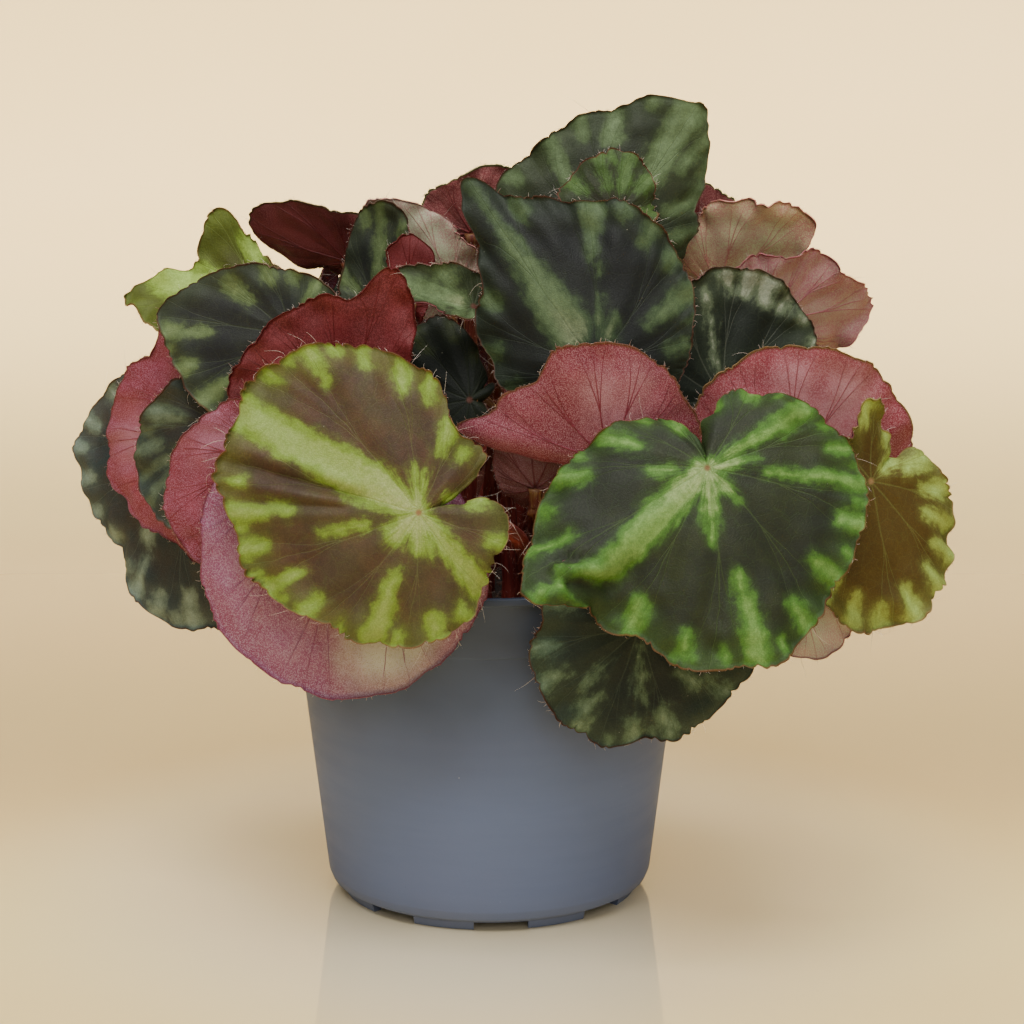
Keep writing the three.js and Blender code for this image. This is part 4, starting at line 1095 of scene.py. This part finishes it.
# ---- materials ------------------------------------------------------------------------------
class Shader:
    """Builds the node tree of one material, whose colour is laid on in layers."""

    def __init__(self, name, ground=None):
        self.material = bpy.data.materials.new(name)
        self.material.use_nodes = True
        self.tree = self.material.node_tree
        self.surface = self.tree.nodes["Principled BSDF"]
        self.colour = ground

    def feed(self, socket, value):
        if isinstance(value, bpy.types.NodeSocket):
            self.tree.links.new(value, socket)
        else:
            socket.default_value = value

    def node(self, kind, fed, **settings):
        """A node with its settings and what is fed to its sockets, by name or place."""
        made = self.tree.nodes.new("ShaderNode" + kind)
        for key, value in settings.items():
            setattr(made, key, value)
        for key, value in fed.items():
            self.feed(made.inputs[key], value)
        return made

    def set(self, **values):
        for key, value in values.items():
            self.feed(self.surface.inputs[key.replace("_", " ")], value)

    def fact(self, name):
        return self.node("Attribute", {}, attribute_name=name).outputs["Fac"]

    def flat(self):
        return self.node("Attribute", {}, attribute_name="flat").outputs["Vector"]

    def place(self):
        return self.node("TexCoord", {}).outputs["Object"]

    def math(self, operation, *values, clamp=False):
        fed = dict(enumerate(values))
        return self.node("Math", fed, operation=operation, use_clamp=clamp).outputs[0]

    def times(self, one, other, **options):
        return self.math("MULTIPLY", one, other, **options)

    def minus(self, one, other):
        return self.math("SUBTRACT", one, other)

    def sum_of(self, value, factor, rest):
        """A value times a factor, plus the rest."""
        return self.math("MULTIPLY_ADD", value, factor, rest)

    def scaled(self, vector, by):
        return self.node("Mapping", {"Vector": vector, "Scale": by}).outputs[0]

    def together(self, *parts):
        return self.node("CombineXYZ", dict(enumerate(parts))).outputs[0]

    def part(self, vector, axis):
        return self.node("SeparateXYZ", {0: vector}).outputs[axis]

    def ramp(self, value, stops, ease="LINEAR"):
        """Colours at places along a value; each stop is a place and a colour."""
        low, high = stops[0][0], stops[-1][0]
        span = self.node("MapRange", {"Value": value, "From Min": low, "From Max": high})
        made = self.node("ValToRGB", {0: span.outputs[0]})
        made.color_ramp.interpolation = ease
        marks = made.color_ramp.elements
        for place, colour in stops[1:-1]:
            marks.new((place - low) / (high - low)).color = srgb(*colour)
        marks[0].color, marks[-1].color = srgb(*stops[0][1]), srgb(*stops[-1][1])
        return made.outputs[0]

    def noise(self, vector, scale, detail=3.0, rough=0.55):
        fed = {"Vector": vector, "Scale": scale, "Detail": detail, "Roughness": rough}
        return self.node("TexNoise", fed).outputs["Fac"]

    def uneven(self, *noise):
        """A noise round zero."""
        return self.minus(self.noise(*noise), 0.5)

    def cells(self, vector, scale, feature="F1"):
        fed = {"Vector": vector, "Scale": scale}
        return self.node("TexVoronoi", fed, feature=feature).outputs["Distance"]

    def fade(self, value, low, high, start=0.0, end=1.0):
        fed = {"Value": value, "From Min": low, "From Max": high, "To Min": start, "To Max": end}
        return self.node("MapRange", fed, interpolation_type="SMOOTHSTEP").outputs["Result"]

    def mix(self, share, one, other):
        return self.node("Mix", {0: share, 6: one, 7: other}, data_type="RGBA").outputs[2]

    def lay(self, other, share):
        """Lays another colour over the surface so far, by a share."""
        self.colour = self.mix(share, self.colour, other)

    def over(self, other, value, low, high, start=0.0, end=1.0):
        """Lays another colour over the surface so far where a value fades from start to end."""
        self.lay(other, self.fade(value, low, high, start, end))

    def bump(self, height, strength, distance):
        fed = {"Height": height, "Strength": strength, "Distance": distance}
        return self.node("Bump", fed).outputs["Normal"]


MATERIALS = {}


def kept(make):
    """A material is made once for each name."""
    def get(*names):
        key = (make.__name__, *names)
        if key not in MATERIALS:
            MATERIALS[key] = make(*names)
        return MATERIALS[key]
    return get


def vein_lines(shader, width):
    """Masks of the main veins with their forks, and of the fine net between them."""
    count, reach, share = shader.fact("vein"), shader.fact("reach"), shader.fact("share")
    wobble = shader.uneven(shader.flat(), 0.11, 2.0)
    off = shader.math("PINGPONG", shader.sum_of(wobble, 0.09, count), 0.5)
    past = shader.math("MAXIMUM", shader.minus(share, FORK_START), 0.0)
    fork = shader.times(past, FORK_SPREAD / (1 - FORK_START))
    beside = shader.math("ABSOLUTE", shader.minus(off, fork))
    thin = shader.fade(share, 0.0, 1.0, width, width * 0.4)
    main = shader.math("DIVIDE", shader.times(off, reach), thin, clamp=True)
    side = shader.math("DIVIDE", shader.times(beside, reach), thin)
    side = shader.times(side, 1.5, clamp=True)
    lines = shader.minus(1.0, shader.math("MINIMUM", main, side))
    net = shader.cells(shader.flat(), 0.28, "DISTANCE_TO_EDGE")
    return lines, shader.fade(net, 0.0, 0.05, 1.0, 0.0)


@kept
def upper_material(name):
    """The patterned upper face: light bands with a greener fringe on a dark ground."""
    ground, deep, light, fringe, rim = (srgb(*row) for row in UPPER[name])
    shader = Shader("upper_" + name, ground)
    flat, share, from_rim = shader.flat(), shader.fact("share"), shader.fact("rim")
    ways = [shader.times(value, 6.0) for value in (shader.fact("vein"), share)]
    rays = shader.together(*ways, shader.part(flat, "Z"))
    feather, patchy = shader.uneven(rays, 1.0, 4.0, 0.6), shader.uneven(flat, 0.26, 5.0, 0.62)
    jag = JAGGED.get(name, 1)
    field = shader.sum_of(feather, FEATHER * jag, shader.fact("light"))
    field = shader.sum_of(patchy, PATCHY * jag, field)
    inner = shader.fade(field, 0.2, 2.6)
    shader.over(deep, shader.noise(flat, 0.04, 4.0, 0.6), 0.38, 0.62)
    shader.over(deep, feather, -0.2, 0.25, 0.0, 0.4)
    shader.over(rim, shader.noise(flat, 0.07, 3.0, 0.6), 0.4, 0.62, 0.0, BLUSHING.get(name, 0.0))
    shader.over(fringe, field, -3.2, -0.8, 0.0, 0.14)
    shader.over(fringe, from_rim, 0.0, 12.0, 0.2, 0.0)
    lines, net = vein_lines(shader, 0.42)
    shader.lay(fringe, shader.times(net, 0.05))
    shader.lay(light, shader.times(lines, 0.12))
    shader.over(fringe, field, -1.5, 0.7)
    lit = shader.mix(shader.fade(share, 0.3, 0.9, 0.0, 0.28), light, fringe)
    lit = shader.mix(shader.fade(share, 0.05, 0.4, 0.28, 0.0), lit, STALK_END)
    mottle = shader.fade(shader.noise(flat, 0.55, 5.0, 0.7), 0.36, 0.64, 0.0, 0.4)
    shader.lay(shader.mix(mottle, lit, fringe), inner)
    shader.lay(fringe, shader.times(lines, shader.times(inner, 0.3)))
    grain = shader.cells(flat, 2.4)
    shader.over(SHADOW, grain, 0.1, 0.75, 0.0, 0.2)
    shader.over(DUST, shader.cells(flat, 0.14), 0.0, 0.026, 0.5, 0.0)
    border = shader.fade(from_rim, 0.1, 0.55, 0.6, 0.0)
    hub = shader.fade(shader.fact("hub"), 0.3, 1.3, 0.8, 0.0)
    shader.lay(rim, shader.math("MAXIMUM", border, hub))
    height = shader.sum_of(net, -0.2, shader.times(grain, 0.5))
    height = shader.sum_of(lines, -0.7, height)
    shader.set(Base_Color=shader.colour, Roughness=shader.fade(grain, 0.0, 0.8, 0.5, 0.64))
    shader.set(Specular_IOR_Level=0.18, Normal=shader.bump(height, 0.5, 0.00025))
    return shader.material


@kept
def under_material(name):
    """The red underside: fine bright stipple, thin veins, paler where the pattern shows through."""
    base, deep, pale, vein, rim = (srgb(*row) for row in UNDER[name])
    shader = Shader("under_" + name, base)
    flat, from_rim = shader.flat(), shader.fact("rim")
    patch = shader.sum_of(shader.uneven(flat, 0.16, 4.0, 0.6), 14.0, shader.fact("light"))
    shader.over(deep, shader.noise(flat, 0.055, 4.0, 0.6), 0.36, 0.64)
    shader.over(THROUGH.get(name, pale), patch, -8.0, 12.0, 0.0, SHOWING.get(name, 0.3))
    shader.over(deep, from_rim, 0.5, 9.0, 0.6, 0.0)
    stipple = shader.noise(flat, 3.6, 3.0, 0.7)
    shader.over(pale, stipple, 0.47, 0.6, 0.0, 0.48)
    shader.over(deep, stipple, 0.48, 0.36, 0.0, 0.42)
    lines, net = vein_lines(shader, 0.4)
    shader.lay(vein, shader.times(lines, 0.5))
    shader.lay(vein, shader.times(net, 0.06))
    shader.over(rim, from_rim, 0.1, 0.6, 0.55, 0.0)
    height = shader.sum_of(lines, 0.8, stipple)
    height = shader.sum_of(net, 0.2, height)
    shader.set(Base_Color=shader.colour, Roughness=shader.fade(stipple, 0.3, 0.7, 0.58, 0.42))
    shader.set(Specular_IOR_Level=0.25, Normal=shader.bump(height, 0.5, 0.0003))
    return shader.material


@kept
def ridge_material(name):
    """The raised veins under a leaf."""
    base, _, _, vein, _ = (srgb(*row) for row in UNDER[name])
    shader = Shader("ridge_" + name, vein)
    grain = shader.noise(shader.flat(), 1.3, 3.0)
    shader.over(base, grain, 0.3, 0.7, 0.2, 0.9)
    shader.set(Base_Color=shader.colour, Roughness=shader.fade(grain, 0.3, 0.7, 0.45, 0.57))
    shader.set(Specular_IOR_Level=0.25, Normal=shader.bump(grain, 0.35, 0.0002))
    return shader.material


@kept
def stalk_material():
    """Red-brown stalks, greener towards the blade, with pale flecks."""
    shader = Shader("stalk", srgb(126, 52, 44))
    flat = shader.flat()
    streak = shader.noise(shader.scaled(flat, (0.12, 0.6, 0.6)), 1.0, 4.0)
    shader.over(srgb(128, 96, 58), shader.fact("share"), 0.55, 1.0)
    shader.over(srgb(92, 34, 30), streak, 0.35, 0.65)
    flecks = shader.cells(shader.scaled(flat, (0.35, 0.9, 0.9)), 1.0)
    shader.over(srgb(196, 150, 128), flecks, 0.0, 0.2, 0.6, 0.0)
    shader.set(Base_Color=shader.colour, Roughness=shader.fade(streak, 0.3, 0.7, 0.38, 0.52))
    shader.set(Specular_IOR_Level=0.35, Normal=shader.bump(streak, 0.5, 0.0004))
    return shader.material


@kept
def hair_material():
    """Hairs run from reddish at the root to nearly white at the tip."""
    shader = Shader("hair", srgb(150, 84, 66))
    along = shader.math("ADD", shader.times(shader.fact("along"), 0.6), shader.fact("tint"))
    shader.over(srgb(236, 226, 212), along, 0.2, 1.05)
    shader.set(Base_Color=shader.colour, Roughness=shader.fade(along, 0.0, 1.4, 0.55, 0.4))
    return shader.material


@kept
def pot_material():
    """Blue-grey moulded plastic with painted shade that darkens it towards the rim, and faint flow lines,
    scuffs and dust.
    """
    shader = Shader("pot_plastic")
    place = shader.place()
    pebble = shader.noise(place, 1500.0, 3.0, 0.6)
    flow = shader.noise(shader.scaled(place, (30.0, 30.0, 260.0)), 1.0, 3.0)
    # painted shade: the colour by height darkens towards the rim, where the leaves shade the pot
    shader.colour = shader.ramp(shader.part(place, "Z"), POT_SHADED_TONES)
    shader.over(srgb(102, 118, 150), shader.noise(place, 22.0, 3.0), 0.3, 0.7, 0.0, 0.25)
    shader.over(srgb(82, 92, 118), flow, 0.4, 0.7, 0.0, 0.07)
    shader.over(srgb(190, 194, 200), shader.cells(place, 95.0), 0.0, 0.028, 0.7, 0.0)
    scuffs = shader.cells(shader.scaled(place, (1.0, 1.0, 0.6)), 130.0)
    shader.over(srgb(70, 78, 96), scuffs, 0.0, 0.03, 0.4, 0.0)
    height = shader.math("ADD", shader.times(pebble, 0.7), shader.times(flow, 0.25))
    shader.set(Base_Color=shader.colour, Roughness=shader.fade(flow, 0.3, 0.7, 0.48, 0.54))
    shader.set(Specular_IOR_Level=0.25, Normal=shader.bump(height, 0.22, 0.0002))
    return shader.material


@kept
def soil_material():
    """Damp peat: dark brown with paler fibres and grains."""
    shader = Shader("peat", srgb(30, 20, 14))
    place = shader.place()
    lumps, fine = shader.noise(place, 260.0, 6.0, 0.7), shader.noise(place, 1300.0, 4.0, 0.7)
    shader.over(srgb(62, 42, 30), lumps, 0.35, 0.65)
    shader.over(srgb(104, 76, 54), fine, 0.58, 0.75, 0.0, 0.6)
    shader.set(Base_Color=shader.colour, Roughness=shader.fade(lumps, 0.3, 0.7, 0.72, 0.95))
    shader.set(Normal=shader.bump(shader.math("ADD", lumps, fine), 0.8, 0.0012))
    return shader.material


@kept
def crumb_material():
    """Loose crumbs: peat, bark and a few white grains, by a shade drawn for each."""
    shader = Shader("crumbs", srgb(34, 22, 15))
    shade, fine = shader.fact("shade"), shader.noise(shader.place(), 900.0, 4.0, 0.7)
    shader.over(srgb(96, 62, 40), shade, 0.0, 0.6)
    shader.over(srgb(205, 200, 188), shade, 0.93, 0.95)
    shader.over(srgb(24, 16, 11), fine, 0.5, 0.75, 0.0, 0.5)
    shader.set(Base_Color=shader.colour, Roughness=shader.fade(fine, 0.3, 0.7, 0.7, 0.92))
    shader.set(Normal=shader.bump(fine, 0.6, 0.0006))
    return shader.material


@kept
def stage_material():
    """A pale glossy table that runs up into the backdrop, with painted light and shade by distance, darker
    behind the pot, and painted light round the pot.
    """
    shader = Shader("stage")
    across, away = shader.part(shader.place(), "X"), shader.part(shader.place(), "Y")
    # painted light and shade: the colour by distance stands in for how the light falls over table and
    # backdrop
    shader.colour = shader.ramp(away, STAGE_LIT_TONES, "CARDINAL")
    squares = [shader.math("POWER", value, 2.0) for value in (across, away)]
    from_pot = shader.math("SQRT", shader.math("ADD", *squares))
    # painted light: paler round the pot, lifting the shadow that the plant casts on the table
    shader.over(srgb(252, 236, 200), from_pot, 0.06, 0.17, 0.9, 0.0)
    shader.over(srgb(120, 100, 80), shader.cells(shader.place(), 16.0), 0.0, 0.012, 0.35, 0.0)
    shader.over(srgb(200, 180, 150), shader.noise(shader.place(), 3.0, 2.0), 0.3, 0.7, 0.0, 0.05)
    shader.set(Base_Color=shader.colour, Roughness=shader.fade(away, 0.25, 0.6, 0.04, 0.9), IOR=1.6)
    shader.set(Specular_IOR_Level=shader.fade(away, 0.1, 0.35, 1.0, 0.2))
    return shader.material


# ---- the pot and the soil ---------------------------------------------------------------------
def rounded(profile, radius):
    """A profile whose corners are rounded off."""
    points = [np.array(point, float) for point in profile]
    made = [points[0]]
    for before, corner, after in zip(points, points[1:], points[2:]):
        start, end = (
            corner + unit(other - corner) * min(radius, np.linalg.norm(other - corner) * 0.45)
            for other in (before, after)
        )
        for t in np.linspace(0, 1, CORNER_STEPS):
            made.append((1 - t) ** 2 * start + 2 * (1 - t) * t * corner + t**2 * end)
    made.append(points[-1])
    return np.array(made)


def lathe(profile, segments):
    """Points and faces of a profile turned round the Z axis; it starts and ends on the axis."""
    angle = circle(segments)
    across, up = profile[1:-1, 0, None], profile[1:-1, 1, None]
    ring = np.stack([across * np.cos(angle), across * np.sin(angle), up + 0 * angle], axis=-1)
    points = np.concatenate([[[0, 0, profile[0][1]]], ring.reshape(-1, 3), [[0, 0, profile[-1][1]]]])
    index = 1 + np.arange(len(across) * segments).reshape(-1, segments)
    after = np.roll(index, -1, axis=1)
    quads = np.stack([index[:-1], after[:-1], after[1:], index[1:]], -1).reshape(-1, 4)
    start = np.stack([np.zeros(segments, int), after[0], index[0]], -1)
    end = np.stack([np.full(segments, len(points) - 1), index[-1], after[-1]], -1)
    return points, [quads, start, end]


def cut(target, points, faces):
    """Takes a solid away from the target for good."""
    tool = mesh_object("cutter", points, faces)
    modifier = target.modifiers.new("cut", "BOOLEAN")
    modifier.operation = "DIFFERENCE"
    modifier.solver = "EXACT"
    modifier.object = tool
    evaluated = target.evaluated_get(bpy.context.evaluated_depsgraph_get())
    mesh = bpy.data.meshes.new_from_object(evaluated)
    target.modifiers.clear()
    target.data = mesh
    bpy.data.objects.remove(tool)


def box_corners():
    """The eight corners of a cube, 1 from its middle along each axis."""
    return np.array(list(itertools.product((-1, 1), repeat=3)), float)


def block(distance, size, turn):
    """A box with its middle at a distance along X, then turned about Z."""
    x, y, z = (box_corners() * size / 2 + [distance, 0, 0]).T
    faces = np.array([[0, 1, 3, 2], [4, 6, 7, 5], [0, 4, 5, 1], [2, 3, 7, 6], [0, 2, 6, 4], [1, 5, 7, 3]])
    return np.stack([*turned_about_z(x, y, turn), z], -1), [faces]


def rod(distance, radius, height, turn):
    """An upright rod with its axis at a distance along X, then turned about Z."""
    angle = circle(DRAIN_SIDES)
    x, y = turned_about_z(distance + radius * np.cos(angle), radius * np.sin(angle), turn)
    ends = [np.stack([x, y, 0 * x + sense * height / 2], -1) for sense in (-1, 1)]
    low = np.arange(DRAIN_SIDES)
    after = np.roll(low, -1)
    quads = np.stack([low, after, after + DRAIN_SIDES, low + DRAIN_SIDES], -1)
    return np.concatenate(ends), [quads, low[None, ::-1], (low + DRAIN_SIDES)[None]]


def pot_profile():
    """Radius and height of each corner, from the middle underneath, outside, to the middle inside."""
    lip_bottom = POT_HEIGHT - LIP_HEIGHT
    collar_top = POT_RIM_RADIUS - 1
    return [
        (0, 0),
        (CENTRE_FOOT_RADIUS, 0),
        (CENTRE_FOOT_RADIUS + 0.5, FOOT_HEIGHT),
        (FOOT_RADIUS - FOOT_WIDTH, FOOT_HEIGHT),
        (FOOT_RADIUS - FOOT_WIDTH, 0),
        (FOOT_RADIUS, 0),
        (FOOT_RADIUS + 0.6, FOOT_HEIGHT),
        (WALL_RADIUS_BOTTOM - 1.1, FOOT_HEIGHT + 1.4),
        (WALL_RADIUS_BOTTOM, FILLET_TOP),
        (WALL_RADIUS_TOP, COLLAR_BOTTOM),
        (WALL_RADIUS_TOP + COLLAR_STEP, COLLAR_BOTTOM + 0.4),
        (collar_top, lip_bottom),
        (POT_RIM_RADIUS, lip_bottom + 0.3),
        (POT_RIM_RADIUS - 0.2, POT_HEIGHT),
        (collar_top - POT_WALL, POT_HEIGHT),
        (WALL_RADIUS_TOP - POT_WALL, COLLAR_BOTTOM),
        (WALL_RADIUS_BOTTOM - POT_WALL, FILLET_TOP + 1),
        (WALL_RADIUS_BOTTOM - POT_WALL - 2, BASE_TOP),
        (0, BASE_TOP),
    ]


def make_pot():
    points, faces = lathe(rounded(pot_profile(), CORNER_RADIUS), POT_SEGMENTS)
    pot = mesh_object("pot_moulded", points, faces, materials=(pot_material(),))
    tools = []
    for foot in range(FOOT_COUNT):
        turn = radians(-90 + NOTCH_TURN + 360 / FOOT_COUNT * foot)
        notch = (2.5 * FOOT_WIDTH, NOTCH_WIDTH, 2 * FOOT_HEIGHT)
        tools.append(block(FOOT_RADIUS - FOOT_WIDTH / 2, notch, turn))
        tools.append(rod(DRAIN_RING_RADIUS, DRAIN_RADIUS, DRAIN_CUT, turn))
    points, groups = joined(tools)
    cut(pot, points, flattened(groups))
    pot.data.polygons.foreach_set("use_smooth", np.full(len(pot.data.polygons), True))
    pot.data.set_sharp_from_angle(angle=math.radians(SHARP_ANGLE))
    pot.data.update()
    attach(pot, "root")
    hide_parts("pot")


def soil_lift(x, y, waves):
    return SOIL_RELIEF * sum(size * np.sin(kx * x + ky * y + phase) for kx, ky, phase, size in waves)


def soil_dome(share):
    """The height of the soil's dome over its border, by the share of the radius."""
    return (SOIL_DOME + 1) * (1 - share**DOME_POWER)


def make_soil():
    random = np.random.default_rng(SOIL_SEED)
    top = WALL_RADIUS_TOP - POT_WALL - GAP
    draft = (WALL_RADIUS_TOP - WALL_RADIUS_BOTTOM) / (COLLAR_BOTTOM - FILLET_TOP)
    profile = [
        (0, BASE_TOP + GAP),
        (WALL_RADIUS_BOTTOM - POT_WALL - 2 - GAP, BASE_TOP + GAP),
        (WALL_RADIUS_BOTTOM + draft - POT_WALL - GAP, FILLET_TOP + 1 + GAP),
        (top, COLLAR_BOTTOM),
    ]
    for share in np.linspace(1, 0, SOIL_RINGS)[:-1]:
        profile.append((top * share, SOIL_LEVEL - 1 + soil_dome(share)))
    profile.append((0, SOIL_LEVEL + SOIL_DOME))
    points, faces = lathe(np.array(profile), SOIL_SPOKES)
    waves = []
    for i in range(SOIL_WAVES):
        rate = 0.5 * 1.35**i
        waves.append((random.normal(0, rate), random.normal(0, rate), random.uniform(0, 6), 0.55 / 1.22**i))
    raised = points[:, 2] > COLLAR_BOTTOM + 1
    points[:, 2] += np.where(raised, soil_lift(points[:, 0], points[:, 1], waves) - SOIL_SINK, 0)
    soil = mesh_object("soil_peat", points, faces, materials=(soil_material(),))
    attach(soil, "root")
    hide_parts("soil")
    make_crumbs(random, waves, top)


def lump():
    """Points and faces of a rough ball: a cube with a tip over each side."""
    corners = box_corners()
    faces = []
    for axis, sign in itertools.product(range(3), (1, -1)):
        tip = 8 + axis if sign == 1 else 11 + axis
        side = [place for place in range(8) if corners[place, axis] == sign]
        for one, two in itertools.combinations(side, 2):
            if np.sum(corners[one] != corners[two]) == 1:
                outward = np.linalg.det([sign * np.eye(3)[axis], corners[one], corners[two]]) > 0
                faces.append((tip, one, two) if outward else (tip, two, one))
    return np.concatenate([corners * CUBE_SHARE, np.eye(3), -np.eye(3)]), np.array(faces)


def make_crumbs(random, waves, top):
    """Small lumps of peat and bark strewn over the soil."""
    ball, ball_faces = lump()
    count = CRUMB_COUNT
    radius = top * np.sqrt(random.uniform(0, 0.97, count))
    angle = random.uniform(0, 2 * np.pi, count)
    x, y = radius * np.cos(angle), radius * np.sin(angle)
    z = SOIL_LEVEL - 1 - SOIL_SINK + soil_dome(radius / top) + soil_lift(x, y, waves)
    size = CRUMB_SMALLEST + CRUMB_SPREAD * random.uniform(0, 1, count) ** 3
    stretch = np.stack([random.uniform(*span, count) for span in CRUMB_STRETCH], -1)
    spin = random.uniform(0, 2 * np.pi, count)[:, None]
    shape = ball[None] * (1 + random.normal(0, CRUMB_ROUGHNESS, (count, len(ball), 1)))
    shape = shape * (stretch * size[:, None])[:, None]
    tilt = random.normal(0, CRUMB_TILT, (count, 1))
    lumps = [*turned_about_z(shape[..., 0], shape[..., 1], spin), shape[..., 2] + tilt * shape[..., 0]]
    points = np.stack(lumps, -1) + np.stack([x, y, z], -1)[:, None]
    faces = (ball_faces[None] + (np.arange(count) * len(ball))[:, None, None]).reshape(-1, 3)
    shade = np.repeat(random.uniform(0, 1, count), len(ball))
    crumbs = mesh_object("soil_crumbs", points.reshape(-1, 3), [faces], {"shade": shade}, (crumb_material(),))
    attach(crumbs, "root")


# ---- the setting ------------------------------------------------------------------------------
def make_stage():
    """A sheet that lies flat as the table and bends up into the backdrop."""
    line = [(STAGE_FRONT, 0), (STAGE_TURN, 0)]
    for angle in np.linspace(0, math.pi / 2, STAGE_STEPS + 1)[1:]:
        line.append((STAGE_TURN + STAGE_RADIUS * math.sin(angle), STAGE_RADIUS * (1 - math.cos(angle))))
    line.append((STAGE_TURN + STAGE_RADIUS, STAGE_TOP))
    line = np.array(line, float)
    points = np.concatenate([
        np.column_stack([np.full(len(line), x), line]) for x in (-STAGE_HALF_WIDTH, STAGE_HALF_WIDTH)
    ])
    low = np.arange(len(line) - 1)
    quads = np.stack([low, low + len(line), low + len(line) + 1, low + 1], -1)
    sweep = mesh_object("table_and_backdrop", points, [quads], materials=(stage_material(),))


def area_light(name, place, target, size, power, colour, spread):
    light = bpy.data.lights.new(name, "AREA")
    light.shape = "RECTANGLE"
    light.size, light.size_y = size
    light.energy = power
    light.color = colour
    light.spread = math.radians(spread)
    made = bpy.data.objects.new(name, light)
    made.location = place
    made.rotation_mode = "QUATERNION"
    made.rotation_quaternion = (Vector(target) - Vector(place)).to_track_quat("-Z", "Y")
    bpy.context.scene.collection.objects.link(made)


def make_lights():
    for row in LIGHTS:
        area_light(*row)
    world = bpy.data.worlds.new("studio")
    world.use_nodes = True
    background = world.node_tree.nodes["Background"]
    background.inputs["Color"].default_value = WORLD_COLOUR
    background.inputs["Strength"].default_value = WORLD_STRENGTH
    bpy.context.scene.world = world


def make_camera():
    data = bpy.data.cameras.new("camera")
    data.lens = CAMERA_LENS
    data.sensor_width = CAMERA_SENSOR
    data.clip_end = CAMERA_FAR
    camera = bpy.data.objects.new("camera", data)
    camera.location = CAMERA_PLACE
    camera.rotation_euler = (math.radians(90 - CAMERA_PITCH), 0, 0)
    bpy.context.scene.collection.objects.link(camera)
    bpy.context.scene.camera = camera


# ---- the plant in its pot -----------------------------------------------------------------------
make_camera()
make_lights()
make_stage()
make_pot()
make_soil()
places = standing_places()
for order, (name, row) in enumerate(LEAVES.items()):
    row["seed"] = PATTERN_STEP * order
    make_leaf("leaf_" + name, row, places[name], np.random.default_rng(LEAF_SEED + order))
